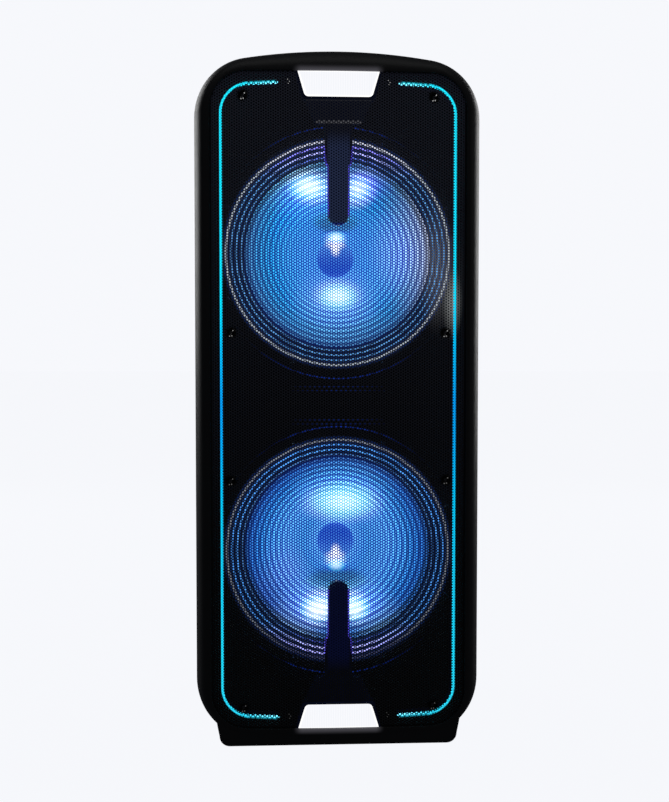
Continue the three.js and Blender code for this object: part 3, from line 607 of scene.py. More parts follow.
def lamp_light(n, x, centre_z, side):
    """The light that a woofer's lamps throw on what lies around (x, centre_z), painted as a colour with
    pools of light and shadows.
    """
    radius = n.vector("LENGTH", from_centre(n, x, centre_z))
    light = n.ramp(n.math("DIVIDE", radius, CONE_OUTER * MM), CONE_GLOW[side])
    for spot_x, up, size, stretch, colour in CONE_LIGHTS[side]:
        light = n.lit(light, lobe(n, x + spot_x, centre_z + side * up, size, stretch), colour)
    for spot_x, up, size, stretch, keep in CONE_SHADES[side]:
        shade = lobe(n, x + spot_x, centre_z + side * up, size, stretch)
        light = n.dimmed(light, n.remap(shade, 0.0, 0.7, 1.0, keep))
    return n.blend(1.0, light, GLOW_GAIN, "MULTIPLY"), radius


def lit_cone_material(name, centre_z, side):
    """A ribbed cone whose glow is the painted light of the lamps on its arm, with painted shade between its
    ribs.
    """
    n = Nodes(name)
    light, radius = lamp_light(n, 0, centre_z, side)
    rib = n.math("COSINE", n.math("MULTIPLY", radius, 2 * math.pi / (RIB_PITCH * MM)))
    depth = n.remap(radius, 50 * MM, 92 * MM, 0.12, RIB_SHADE[side])
    light = n.dimmed(light, n.math("ADD", 1.0, n.math("MULTIPLY", rib, depth)))
    n.set(Base_Color=CONE_BASE, Roughness=n.remap(n.noise(3.0), 0.3, 0.7, 0.32, 0.46))
    return n.glow(light).bump(n.noise(0.9), 0.03, 0.6)


def lit_surround_material(name, centre_z, side):
    """The corrugated edge: dark, with painted light on the tops of its folds, dimmer towards the bottom."""
    n = Nodes(name)
    radius = n.vector("LENGTH", from_centre(n, 0, centre_z))
    rise = n.axes(from_centre(n, 0, centre_z))[2]
    fade = n.remap(rise, -CONE_OUTER * MM, CONE_OUTER * MM, SURROUND_LOW[side], 1.05, smooth=False)
    root = n.remap(n.math("MULTIPLY", rise, side), 88 * MM, 136 * MM)
    light = n.blend(0.0, (0.004, 0.015, 0.08), BLACK)
    for ring, width, colour, root_colour in SURROUND_RINGS[side]:
        edge = n.math("ABSOLUTE", n.math("SUBTRACT", radius, ring * MM))
        tone = n.blend(root, colour, root_colour)
        light = n.blend(n.remap(edge, width * MM, width * 0.3 * MM), light, tone)
    n.set(Base_Color=(0.03, 0.035, 0.055), Roughness=n.remap(n.noise(2.0), 0.3, 0.7, 0.5, 0.7))
    return n.glow(n.dimmed(light, fade)).bump(n.noise(0.7), 0.05, 0.7)


def lit_cap_material(name, centre_z, side):
    """The dust cap: a painted highlight on the side of the lamp and painted shade on its far side."""
    n = Nodes(name)
    height = n.math("MULTIPLY", n.axes(from_centre(n, 0, centre_z))[2], side)
    light = n.ramp(n.remap(height, -25 * MM, 25 * MM, smooth=False), [
        (0.0, (0.04, 0.17, 0.62)), (0.25, (0.03, 0.15, 0.58)), (0.5, (0.06, 0.24, 0.74)),
        (0.75, (0.12, 0.42, 0.95)), (1.0, (0.12, 0.42, 0.95)),
    ])
    for up, size, stretch in CAP_HIGHLIGHTS:
        light = n.lit(light, lobe(n, 0, centre_z + side * up, size, stretch), CAP_HIGHLIGHT_COLOUR)
    n.set(Base_Color=CONE_BASE, Roughness=n.remap(n.noise(4.0), 0.3, 0.7, 0.22, 0.32))
    return n.glow(light)


def strip_colour(n):
    """Cyan, bluer towards mid-height."""
    low, high = (CENTRE_Z - STRIP_REACH) * MM, (CENTRE_Z + STRIP_REACH) * MM
    return n.ramp(n.remap(n.axes()[2], low, high, smooth=False), [
        (0.0, (0.02, 0.56, 0.76)), (0.1, (0.01, 0.58, 0.80)), (0.34, (0.0, 0.46, 0.76)),
        (0.43, (0.0, 0.32, 0.74)), (0.5, (0.0, 0.27, 0.74)), (0.58, (0.0, 0.42, 0.80)),
        (0.66, (0.0, 0.62, 0.84)), (1.0, (0.01, 0.66, 0.84)),
    ])


def strip_material():
    """A light guide in the strip's colours, whiter at the ends of its runs."""
    n = Nodes("strip_light")
    end = n.remap(n.math("ABSOLUTE", n.axes()[0]), 125 * MM, 78 * MM)
    bright = n.blend(1.0, strip_colour(n), (1.6, 1.6, 1.6), "MULTIPLY")
    n.set(Base_Color=(0.05, 0.2, 0.3), Roughness=0.35)
    return n.glow(n.blend(end, bright, (0.35, 1.7, 2.2))).bump(n.noise(1.5), 0.02, 0.4)


def from_middle(n, z):
    """How far above or below the front's middle a height is."""
    return n.math("ABSOLUTE", n.math("SUBTRACT", z, CENTRE_Z * MM))


def grille_material():
    """Powder-coated sheet with the light of the cones and the strips behind it painted into its glow."""
    n = Nodes("grille_metal")
    peel = n.noise(0.4, 2.0)
    n.set(Base_Color=n.blend(n.noise(30.0), grey(0.024, 0.05), grey(0.034, 0.1)))
    n.set(Roughness=n.remap(peel, 0.25, 0.75, 0.43, 0.58))
    x, _, z = n.axes()
    rise = from_middle(n, z)
    glow = n.blend(0.0, BLACK, BLACK)
    for side, (seen_x, seen_z) in CONE_SEEN.items():
        light, radius = lamp_light(n, seen_x, seen_z, side)
        light = n.blend(n.remap(radius, 119 * MM, 108 * MM), BLACK, light)
        hot = n.vector("MAXIMUM", n.vector("SUBTRACT", light, (1.0, 1.0, 1.0)), BLACK)
        # Painted light on the strands: a share of the cone's light and of its brightest part.
        for colour, tint in ((light, STRAND_LIGHT_SHARE), (hot, HOT_SHARE)):
            glow = n.blend(1.0, glow, n.blend(1.0, colour, tint, "MULTIPLY"), "ADD")
    upper_half = n.remap(z, (CENTRE_Z - 50) * MM, (CENTRE_Z + 50) * MM)
    arm_glow = n.blend(upper_half, LOWER_ARM_GLOW, UPPER_ARM_GLOW)
    glow = n.blend(over_arm(n, x, rise), glow, arm_glow)
    sheen = n.remap(z, (CENTRE_Z - 220) * MM, TOP_Z * MM, smooth=False)
    glow = n.lit(glow, sheen, TOP_SHEEN)
    for glare_x, glare_z, size, stretch, colour in GLARES:
        glow = n.lit(glow, lobe(n, glare_x, glare_z, size, stretch), colour)
    return n.glow(n.blend(beside_strip(n, x, rise), glow, strip_colour(n))).bump(peel, 0.02)


def over_arm(n, x, rise):
    """1 where the sheet lies in front of a light arm."""
    across = n.remap(n.math("ABSOLUTE", x), 14.5 * MM, 13 * MM)
    past_tip = n.math("MULTIPLY", across, n.remap(rise, 225 * MM, 228 * MM))
    return n.math("MULTIPLY", past_tip, n.remap(rise, 345 * MM, 318 * MM))


def beside_strip(n, x, rise):
    """How far the sheet in front of a strip takes its colour as painted light: fully at the sides, half at
    the ends.
    """
    corner = STRIP["corner"]
    out = n.math("ABSOLUTE", x)
    sag = n.math("DIVIDE", n.math("MULTIPLY", x, x), 2 * STRIP["arch"] * MM)
    height = n.math("ADD", rise, sag)
    out_x = n.math("MAXIMUM", n.math("SUBTRACT", out, (STRIP["half_width"] - corner) * MM), 0.0)
    out_z = n.math("MAXIMUM", n.math("SUBTRACT", height, (STRIP["half_height"] - corner) * MM), 0.0)
    squares = n.math("ADD", n.math("MULTIPLY", out_x, out_x), n.math("MULTIPLY", out_z, out_z))
    off = n.math("ABSOLUTE", n.math("SUBTRACT", n.math("SQRT", squares), corner * MM))
    share = n.math("MULTIPLY", n.remap(off, 1.7 * MM, 1.0 * MM), n.remap(out, 77 * MM, 79 * MM))
    return n.math("MULTIPLY", share, n.remap(out_x, 0.0, 5 * MM, 0.5, 1.0))


def lip_material():
    """The bezel's plastic, with a soft pale halo of painted strobe light on the lip beyond each strobe
    panel.
    """
    n = Nodes("bezel_plastic")
    grain = n.noise(0.55, 3.0, 0.6)
    patches = n.noise(60.0, 2.0)
    n.set(Base_Color=n.blend(n.remap(patches, 0.35, 0.7), grey(0.0150, 0.04), grey(0.0172, 0.06)))
    n.set(Roughness=n.remap(patches, 0.3, 0.7, 0.508, 0.535))
    x, y, z = n.axes()
    beyond = n.math("SUBTRACT", from_middle(n, z), STROBE["outer_z"] * MM)
    across = n.remap(n.math("ABSOLUTE", x), 60 * MM, 46 * MM)
    halo = n.math("POWER", n.math("MULTIPLY", n.remap(beyond, 8.5 * MM, -1.0 * MM), across), 1.6)
    halo = n.math("MULTIPLY", halo, n.remap(y, -150 * MM, -160 * MM))
    return n.glow(n.blend(halo, BLACK, (0.055, 0.053, 0.062))).bump(grain, 0.035)


def strobe_material():
    """A ribbed clear panel lit from behind: an even white, pure white along its edges."""
    n = Nodes("strobe_light")
    x, _, z = n.axes()
    height = from_middle(n, z)
    above = n.math("SUBTRACT", height, STROBE_INNER_Z[1] * MM)
    half = n.math("ADD", n.math("MULTIPLY", above, STROBE_SLOPE), STROBE["inner_half"] * MM)
    beside = n.math("SUBTRACT", half, n.math("ABSOLUTE", x))
    edge = n.math("MINIMUM", beside, n.math("SUBTRACT", STROBE["outer_z"] * MM, height))
    edge = n.math("MINIMUM", edge, above)
    wave = n.math("SINE", n.math("MULTIPLY", x, 2 * math.pi / (STROBE_RIB * MM)))
    light = n.blend(n.remap(wave, -1.0, 1.0), (0.90, 0.915, 0.96), (0.94, 0.945, 0.98))
    light = n.blend(n.remap(edge, 2.2 * MM, 1.2 * MM), light, (1.15, 1.15, 1.15))
    n.set(Base_Color=(0.02, 0.02, 0.02), Roughness=0.4)
    return n.glow(light)


def faint_glow(name, colour, level, base=(0.01, 0.012, 0.02), fade_x=None):
    """Dark plastic with a glow, fading towards fade_x on both sides: painted light that it catches, or a
    small lamp's light.
    """
    n = Nodes(name)
    share = n.remap(n.noise(9.0, 2.0), 0.3, 0.7, 0.7, 1.2)
    if fade_x:
        share = n.math("MULTIPLY", share, n.remap(n.math("ABSOLUTE", n.axes()[0]), fade_x * MM, 0.0))
    n.set(Base_Color=base, Roughness=0.4)
    return n.glow(n.dimmed(colour, share), level)


def glint_material():
    """Painted glints: small bright spots on the screws, fading towards the floor."""
    n = Nodes("screw_glint")
    n.set(Base_Color=(0.02, 0.02, 0.02), Roughness=0.4)
    return n.glow(n.grey(n.remap(n.axes()[2], 250 * MM, 560 * MM, 0.07, 0.42)))


def figure_glow():
    n = Nodes("display_figures")
    n.set(Base_Color=(0.02, 0.05, 0.08), Roughness=0.4)
    return n.glow(n.blend(n.noise(2.0), (0.05, 0.5, 1.0), (0.1, 0.65, 1.1)))


def circuit_board():
    n = Nodes("circuit_board")
    tracks = n.ramp(n.noise(3.0, 1.0), [(0.45, (0.01, 0.07, 0.03)), (0.55, (0.02, 0.13, 0.06))])
    return n.set(Base_Color=tracks, Roughness=0.45)


# Each look is (slot, material).
LOOK = {
    "cabinet": ("cabinet_plastic", moulded_plastic("cabinet_plastic")),
    "liner": ("cabinet_plastic", moulded_plastic("recess_plastic", 0.020, 0.6, 0.9, 0.06)),
    "bezel": ("cabinet_plastic", lip_material()),
    # The baffle is its own black, darkened further as painted shade behind the grille.
    "baffle": ("baffle_board", moulded_plastic("baffle_board", level=0.003, rough=0.8, grain_mm=1.5)),
    "painted_glow_line": ("baffle_board", faint_glow("painted_glow_line", (0.01, 0.05, 0.45), 0.28, fade_x=70)),
    "grille": ("grille_metal", grille_material()),
    "frame": ("frame_metal", painted_metal("frame_metal", 0.010, 0.4)),
    "painted_glow_edge": ("frame_metal", faint_glow("painted_glow_edge", (0.01, 0.05, 0.50), 0.5, fade_x=120)),
    # The screw cups are their own black, darkened further as painted shade in the recess around each grille
    # screw.
    "cup": ("frame_metal", smooth_plastic("screw_cup", (0.002, 0.002, 0.003), 0.6)),
    # The arms' plastic has a faint painted glow of the lamps' blue light.
    "arm": ("arm_plastic", faint_glow("arm_plastic", (0.10, 0.22, 1.0), 0.006, (0.006, 0.006, 0.008))),
    "painted_violet_glow": ("arm_plastic", faint_glow("painted_violet_glow", (0.10, 0.07, 0.85), 1.0)),
    "painted_pale_highlight": ("arm_plastic", faint_glow("painted_pale_highlight", (0.5, 0.5, 0.56), 0.15)),
    "painted_faint_highlight": ("arm_plastic", faint_glow("painted_faint_highlight", (0.5, 0.5, 0.56), 0.06)),
    "panel": ("panel_plastic", smooth_plastic("panel_plastic", (0.010, 0.010, 0.012), 0.32, coat=0.1)),
    "knob": ("knob_plastic", smooth_plastic("knob_plastic", (0.018, 0.018, 0.020), 0.42)),
    "mark": ("knob_plastic", smooth_plastic("pale_mark", (0.55, 0.56, 0.58), 0.5)),
    "button": ("button_plastic", smooth_plastic("button_plastic", (0.035, 0.035, 0.038), 0.45)),
    "hub": ("hub_plastic", smooth_plastic("hub_plastic", (0.030, 0.030, 0.034), 0.38)),
    "foot": ("black_rubber", rubber("black_rubber")),
    "tyre": ("tyre_rubber", rubber("tyre_rubber", 0.012)),
    "tube": ("tube_metal", brushed_metal("tube_metal", (0.62, 0.63, 0.66), 0.3, "z")),
    "steel": ("steel", brushed_metal("steel", (0.52, 0.52, 0.53), 0.32)),
    "screw": ("steel", brushed_metal("screw_metal", (0.12, 0.12, 0.125), 0.35)),
    "glint": ("steel", glint_material()),
    "strip": ("strip_light", strip_material()),
    "strobe": ("strobe_light", strobe_material()),
    "spot": ("spot_light", faint_glow("spot_light", (0.5, 0.75, 1.0), 2.0, (0.3, 0.35, 0.4))),
    "lamp": ("spot_light", faint_glow("panel_lamp", (0.1, 0.5, 1.0), 0.8, (0.1, 0.2, 0.3))),
    "display": ("display_glass", smooth_plastic("display_glass", (0.006, 0.010, 0.016), 0.08, 6.0, 0.6)),
    "figures": ("display_glass", figure_glow()),
    "magnet": ("magnet", painted_metal("magnet_ferrite", 0.05, 0.7)),
    "coil": ("coil", brushed_metal("coil_copper", (0.6, 0.3, 0.14), 0.35)),
    "spider": ("spider", smooth_plastic("spider_cloth", (0.34, 0.22, 0.08), 0.85, wear_mm=1.0)),
    "board": ("board", circuit_board()),
    "battery": ("battery", smooth_plastic("battery_plastic", (0.03, 0.035, 0.04), 0.5)),
}
for woofer, (woofer_side, woofer_z) in WOOFERS.items():
    for part, slot_name, paint in (
        ("cone", "cone_plastic", lit_cone_material),
        ("cap", "cap_plastic", lit_cap_material),
        ("surround", "surround_rubber", lit_surround_material),
    ):
        LOOK[f"{woofer}_{part}"] = (slot_name, paint(f"{woofer}_{slot_name}", woofer_z, woofer_side))
LOOK = {key: (slot, nodes.material) for key, (slot, nodes) in LOOK.items()}
LOOK["hem"] = ("grille_metal", LOOK["frame"][1])


# ---------------------------------------------------------------- front bezel and rear shell
RIM_BACK_Y = -128.0
RIM_STEPS = 14
LIP_OUTER, LIP_INNER = 0.92, 0.985
LAND_OUTER, LAND_INNER = 0.78, 0.9
WALL = 4.0
GAP = 0.3
BAFFLE_FRONT_Y = box_mm("front_baffle")[0][1]
SHELL_FRONT_Y = box_mm("rear_shell")[0][1]
GRILLE_FRONT_Y = GRILLE_LOW[1]
SEAM = 0.9  # chamfer of both edges where the bezel meets the shell


def rim_rings(inset, floor_z):
    rings = []
    wall_share = WALL / (CABINET["half_width"] - OPENING["half_width"])
    start, end = (LAND_OUTER, wall_share) if inset else (LIP_OUTER, 0.0)
    depth = RIM_BACK_Y - FRONT_Y - inset
    for i in range(RIM_STEPS + 1):
        angle = math.pi / 2 * i / RIM_STEPS
        share = start + (end - start) * math.sin(angle)
        rings.append(front_ring(share, RIM_BACK_Y - depth * math.cos(angle), floor_z))
    return rings


def make_bezel():
    floor_z = CABINET_BOTTOM_Z
    back_y = SHELL_FRONT_Y - GAP
    inner_floor = floor_z + WALL
    land_floor = inner_floor + 1.2
    land_y = BAFFLE_FRONT_Y - GAP
    lip_back_y = GRILLE_FRONT_Y - GAP
    outside = [front_ring(LIP_INNER, FRONT_Y, floor_z)] + rim_rings(0, floor_z)
    outside += [front_ring(0, back_y - SEAM, floor_z), front_ring(0.04, back_y, floor_z + SEAM)]
    inside = rim_rings(WALL, inner_floor)[1:]
    inside.append(front_ring(WALL / 22, back_y, inner_floor))
    land = [
        front_ring(LAND_OUTER, land_y - 4, land_floor),
        front_ring(LAND_OUTER, land_y, land_floor),
        front_ring(LAND_INNER, land_y, floor_z),
        front_ring(LAND_INNER, lip_back_y, floor_z),
        front_ring(1, lip_back_y, floor_z),
        front_ring(1, FRONT_Y + 1.2, floor_z),
        front_ring(0.996, FRONT_Y + 0.4, floor_z),
    ]
    bezel = loft("front_bezel_moulding", outside + inside[::-1] + land, looped=True)
    settle(shaded(bezel, 40), "bezel", "front_bezel")


RECESS_Y = 130.0
RECESS = ([-137.0, RECESS_Y, 455.0], [137.0, 240.0, 1000.0])
FINGERS = ([-98.0, 112.0, 806.0], [98.0, 240.0, 1000.0])
WELL_INNER_X, WELL_FRONT_Y, WELL_TOP_Z = 110.0, 76.0, 99.0
WELLS = [
    ([WELL_INNER_X, WELL_FRONT_Y, -60.0], [260.0, 240.0, WELL_TOP_Z]),
    ([-260.0, WELL_FRONT_Y, -60.0], [-WELL_INNER_X, 240.0, WELL_TOP_Z]),
]
SHELL_ROUND = {"inset": (6.0, 25.0), "y": (118.0, 160.0), "steps": 12}
BACK_SKIN_Y = 160.0
PORT_Z = centre_mm("port_tube")[2]
SWITCH_X, _, SWITCH_Z = centre_mm("power_switch")
INLET_X, _, INLET_Z = centre_mm("mains_inlet")
_, AXLE_Y, AXLE_Z = centre_mm("wheel_axle")


def shell_rings(inset, front_y, floor_z):
    draft_start, draft_end = SHELL_ROUND["inset"]
    y0, y1 = SHELL_ROUND["y"]
    rings = [shell_ring(inset, front_y, floor_z)]
    for i in range(SHELL_ROUND["steps"] + 1):
        angle = math.pi / 2 * i / SHELL_ROUND["steps"]
        draw_in = draft_start + (draft_end - draft_start) * (1 - math.cos(angle))
        rings.append(shell_ring(inset + draw_in, y0 + (y1 - inset - y0) * math.sin(angle), floor_z))
    return rings


def pocket_cutters(pockets, grow, radius):
    """Soft-edged cutters for pockets given by their lowest and highest corners."""
    return [
        soft_block("cutter", [v - grow for v in low], [v + grow for v in high], radius)
        for low, high in pockets
    ]


def make_shell():
    floor_z = CABINET_BOTTOM_Z
    front_y = SHELL_FRONT_Y
    front = [shell_ring(SEAM, front_y, floor_z + SEAM), shell_ring(0, front_y + SEAM, floor_z)]
    shell = loft("rear_shell_moulding", front + shell_rings(0, front_y + 2, floor_z)[1:])
    hollow = loft("hollow", shell_rings(WALL, front_y - 1, floor_z + WALL))
    pockets = [RECESS, FINGERS, *WELLS]
    carved(hollow, *pocket_cutters(pockets, WALL, 2.0))
    carved(shell, hollow, *pocket_cutters(pockets, 0, 5.0), *rear_openings())
    settle(shaded(shell, 34), "cabinet", "rear_shell")


def rear_openings():
    far = BACK_Y + 10
    port = rod("cutter", 40.6, 60, far, (0, 0, PORT_Z), segments=64)
    inlet = slab("cutter", (INLET_X, INLET_Z), (14.6, 10.6), 140, far, 1.5)
    rocker = slab("cutter", (SWITCH_X, SWITCH_Z), (10.4, 15), 140, far, 1)
    axle_holes = [
        rod("cutter", 7, -8, 4, (side * WELL_INNER_X, AXLE_Y, AXLE_Z), "x", 32)
        for side in (1, -1)
    ]
    return [port, inlet, rocker, *axle_holes]


# ---------------------------------------------------------------- plinth and feet
PLINTH = {
    "half_width": 156.0, "middle": (153.6, 27.0), "foot_half": 151.4,
    "bottom": 3.2, "top": 40.0, "round": 13.0, "plan_round": 24.0,
}


def make_plinth():
    p = PLINTH
    low_x = p["foot_half"] - p["round"]
    corner = arc((low_x, p["bottom"] + p["round"]), p["round"], -90, 0, 10)
    half = corner + [p["middle"], (p["half_width"], p["top"])]
    outline = half + [(-x, z) for x, z in half[::-1]]
    plinth = plate("base_plinth_moulding", outline, FRONT_Y, SHELL_ROUND["y"][1])
    low = (-HALF_WIDTH, FRONT_Y + 1, -20)
    high = (HALF_WIDTH, SHELL_ROUND["y"][1] - 8, 60)
    plan = rounded(block("plan", low, high), "z", p["plan_round"])
    carved(plinth, plan, operation="INTERSECT")
    rings = [front_ring(LIP_INNER, FRONT_Y - GAP, CABINET_BOTTOM_Z - GAP, GAP)]
    rings += rim_rings(0, CABINET_BOTTOM_Z - GAP)
    rings += shell_rings(-GAP, SHELL_FRONT_Y, CABINET_BOTTOM_Z - GAP)
    carved(plinth, loft("envelope", rings), *pocket_cutters(WELLS, 0, 5.0))
    settle(shaded(bevelled(plinth, 0.8, 2, 50), 34), "cabinet", "base_plinth")


def make_feet():
    for where in ("front_left", "front_right", "back_left", "back_right"):
        node = where + "_foot"
        (x0, y0, z0), (x1, y1, z1) = box_mm(node)
        middle, half = (x0 + x1) / 2, (x1 - x0) / 2
        end = [(half - 5, z0), (half - 3, z0 + 0.2), (half - 1.5, z0 + 0.7), (half - 0.5, z0 + 1.5),
               (half, z0 + 2.6), (half, z1)]
        outline = [(middle + x, z) for x, z in end + [(-x, z) for x, z in end[::-1]]]
        plan = rounded(block("plan", (x0, y0, z0 - 1), (x1, y1, z1 + 1)), "z", 6, 5)
        foot = carved(plate(node + "_pad", outline, y0, y1), plan, operation="INTERSECT")
        grooves = []
        for i in range(5):
            y = y0 + (y1 - y0) * (i + 1) / 6
            grooves.append(block("cutter", (x0 - 1, y - 0.8, z0 - 1), (x1 + 1, y + 0.8, z0 + 1.2)))
        carved(foot, *grooves)
        settle(shaded(bevelled(foot, 0.5, 2), 34), "foot", node)


# ---------------------------------------------------------------- grille
HOLE_PITCH = 3.5
HOLE_RADIUS = 1.28
UNIT_X, UNIT_Z = HOLE_PITCH / math.sqrt(3) / 2, HOLE_PITCH / 2
SIDE_COLUMNS, SIDE_ROWS = 56, 122  # on each side of the middle, before the outline cuts them off
SCREW_PLACES = [(120.3, 384.5), (135.5, 89.0), (136.5, -98.0), (121.0, -388.0)]
SCREW_CUP_RADIUS = 6.8
# Painted glints, as offsets from each grille screw and as places beside the strobe panels.
SCREW_GLINTS = [(-1.6, -4.6), (1.2, -4.2), (2.6, 2.4)]
STROBE_GLINTS = [(63.0, 399.0), (62.5, -402.0)]
TILES = 8


def inside_outline(x, z, inset):
    """Whether points are inside the opening's outline, drawn in by an inset."""
    half_width = OPENING["half_width"] - inset
    half_height = OPENING["half_height"] - inset
    corner = OPENING["corner"] - inset
    x, z = np.abs(x), np.abs(z)
    over_x = np.maximum(x - (half_width - corner), 0)
    over_z = np.maximum(z - (half_height - corner), 0)
    return np.hypot(over_x, over_z) < corner


def in_strobe(x, z, grow):
    """Whether points are inside either strobe panel's trapezoid, grown."""
    height = np.abs(z)
    low = np.where(z > 0, STROBE_INNER_Z[1], STROBE_INNER_Z[-1])
    half = STROBE["inner_half"] + STROBE_SLOPE * (height - low)
    return (height > low - grow) & (np.abs(x) < half + grow)


def grille_cells():
    """Whole-number places of the holes: columns half a cell high apart, every other one offset."""
    columns = np.arange(-SIDE_COLUMNS, SIDE_COLUMNS + 1)
    rows = np.arange(-SIDE_ROWS, SIDE_ROWS + 1)
    column, row = [g.ravel() for g in np.meshgrid(columns, rows)]
    across = column * 3
    up = row * 2 + column % 2
    x = across * HOLE_PITCH / math.sqrt(3) / 2
    z = up * UNIT_Z
    keep = inside_outline(x, z, 0.6) & ~in_strobe(x, z, 2.3)
    for screw_x, screw_z in SCREW_PLACES:
        keep &= np.hypot(np.abs(x) - screw_x, z - screw_z) > SCREW_CUP_RADIUS - 0.2
    return across[keep], up[keep]


def grille_tile(name, across, up):
    """One closed sheet of hexagonal cells, each with a hexagonal hole."""
    count = len(across)
    corner_x = np.array([2, 1, -1, -2, -1, 1])
    corner_z = np.array([0, 1, 1, 0, -1, -1])
    keys = np.stack([across[:, None] + corner_x, up[:, None] + corner_z], axis=2).reshape(-1, 2)
    corners, index = np.unique(keys, axis=0, return_inverse=True)
    outer = index.reshape(count, 6)
    angle = np.arange(6) * math.pi / 3
    hole_x = across[:, None] * UNIT_X + HOLE_RADIUS * np.cos(angle)
    hole_z = up[:, None] * UNIT_Z + HOLE_RADIUS * np.sin(angle)
    flat_x = np.concatenate([corners[:, 0] * UNIT_X, hole_x.ravel()])
    flat_z = np.concatenate([corners[:, 1] * UNIT_Z, hole_z.ravel()]) + CENTRE_Z
    half = len(flat_x)
    front_y = np.full(half, GRILLE_LOW[1])
    back_y = np.full(half, GRILLE_HIGH[1])
    points = np.stack([
        np.concatenate([flat_x, flat_x]),
        np.concatenate([front_y, back_y]),
        np.concatenate([flat_z, flat_z]),
    ], axis=1)
    hole = len(corners) + np.arange(count * 6).reshape(count, 6)
    outer_next, hole_next = np.roll(outer, -1, axis=1), np.roll(hole, -1, axis=1)
    front = np.stack([outer, outer_next, hole_next, hole], axis=2).reshape(-1, 4)
    back = front[:, ::-1] + half
    walls = np.stack([hole, hole_next, hole_next + half, hole + half], axis=2).reshape(-1, 4)
    edges = np.stack([outer, outer_next], axis=2).reshape(-1, 2)
    _, first, uses = np.unique(np.sort(edges, axis=1), axis=0, return_index=True, return_counts=True)
    rim = edges[first[uses == 1]]
    rim = np.stack([rim[:, 1], rim[:, 0], rim[:, 0] + half, rim[:, 1] + half], axis=1)
    quads = np.concatenate([front, back, walls, rim])
    return quad_mesh(name, points * MM, quads)


def quad_mesh(name, points, quads):
    mesh = bpy.data.meshes.new(name)
    mesh.vertices.add(len(points))
    mesh.vertices.foreach_set("co", points.astype(np.float32).ravel())
    mesh.loops.add(quads.size)
    mesh.loops.foreach_set("vertex_index", quads.astype(np.int32).ravel())
    mesh.polygons.add(len(quads))
    mesh.polygons.foreach_set("loop_start", np.arange(0, quads.size, 4, dtype=np.int32))
    mesh.update(calc_edges=True)
    flat = points[quads.ravel()]
    layer = mesh.uv_layers.new(name="OFBake")
    low, high = points.min(axis=0), points.max(axis=0)
    size = (high - low)[[0, 2]].max()
    layer.data.foreach_set("uv", ((flat - low)[:, [0, 2]] / size).astype(np.float32).ravel())
    piece = bpy.data.objects.new(name, mesh)
    bpy.context.scene.collection.objects.link(piece)
    return piece


def make_grille():
    across, up = grille_cells()
    cuts = np.linspace(up.min(), up.max() + 1, TILES + 1)
    for i in range(TILES):
        mine = (up >= cuts[i]) & (up < cuts[i + 1])
        tile = grille_tile(f"grille_sheet_{i + 1}", across[mine], up[mine])
        settle(tile, "grille", "grille")
    front_y, back_y = GRILLE_HIGH[1] + 0.1, GRILLE_HIGH[1] + 2.4
    section = [(0.985, front_y), (1.15, front_y), (1.15, back_y), (0.985, back_y)]
    hem = loft("grille_hem", [front_ring(share, y, 0) for share, y in section], looped=True)
    settle(hem, "hem", "grille")


def make_grille_screws():
    """A screw at the bottom of a dished cup, at eight places around the grille, with painted glints beside
    the screws and the strobe panels.
    """
    y, rim = GRILLE_LOW[1], SCREW_CUP_RADIUS
    cup = [(rim, y - 0.1), (rim - 0.7, y - 0.3), (5.4, y + 2), (5.0, y + 5), (0, y + 5), (0, y + 6),
           (6.0, y + 6), (6.2, y + 2.4), (rim, y + 0.5)]
    head = [(0, y + 2.0), (1.4, y + 2.1), (2.6, y + 2.7), (3.2, y + 3.6), (3.2, y + 4.9), (0, y + 4.9)]
    places = [(s * x, CENTRE_Z + z) for x, z in SCREW_PLACES for s in (1, -1)]
    cups = [turned("cup", cup, (x, 0, z), "y", 40) for x, z in places]
    settle(shaded(joined("grille_screw_cups", cups), 40), "cup")
    heads, glints = [], []
    for x, z in places:
        screw = turned("head", head, (x, 0, z), "y", 32)
        slots = [slab("slot", (x, z), half, y + 1, y + 3.1) for half in ((1.8, 0.4), (0.4, 1.8))]
        heads.append(carved(screw, *slots))
        for dx, dz in SCREW_GLINTS:
            glints.append(slab("glint", (x + dx, z + dz), (0.5, 0.4), y - 0.35, y + 2.6, 0.2, 2))
    for x, rise in STROBE_GLINTS:
        for side in (1, -1):
            for dx, dz in ((0, 0), (1.4, 2.6), (-0.8, 5.2)):
                low = (side * x + dx - 0.4, y - 0.3, CENTRE_Z + rise + dz - 0.4)
                glints.append(soft_block("glint", low, [v + 0.8 for v in low], 0.15, 2))
    settle(shaded(joined("grille_screws", heads), 40), "screw")
    settle(joined("grille_screw_glints", glints), "glint")


# ---------------------------------------------------------------- lights on the front
LAMP_FRONT_Y = box_mm("upper_light_arm")[0][1]


def strobe_outline(side, grow):
    """The strobe panel's trapezoid as points (x, z), with its two inner corners rounded."""
    s = STROBE
    slope = STROBE_SLOPE
    tilt = math.degrees(math.atan(slope))
    r = s["round"]
    low = STROBE_INNER_Z[side] - grow
    turn = math.radians(90 - tilt) / 2
    corner_x = s["inner_half"] + grow - r * math.tan(turn) + r * slope * 0.5
    half = arc((corner_x, low + r), r, -90, -tilt, 8)
    half.append((s["outer_half"] + grow, s["outer_z"] + max(grow, 0)))
    points = half + [(-x, z) for x, z in half[::-1]]
    return [(x, CENTRE_Z + side * z) for x, z in points]


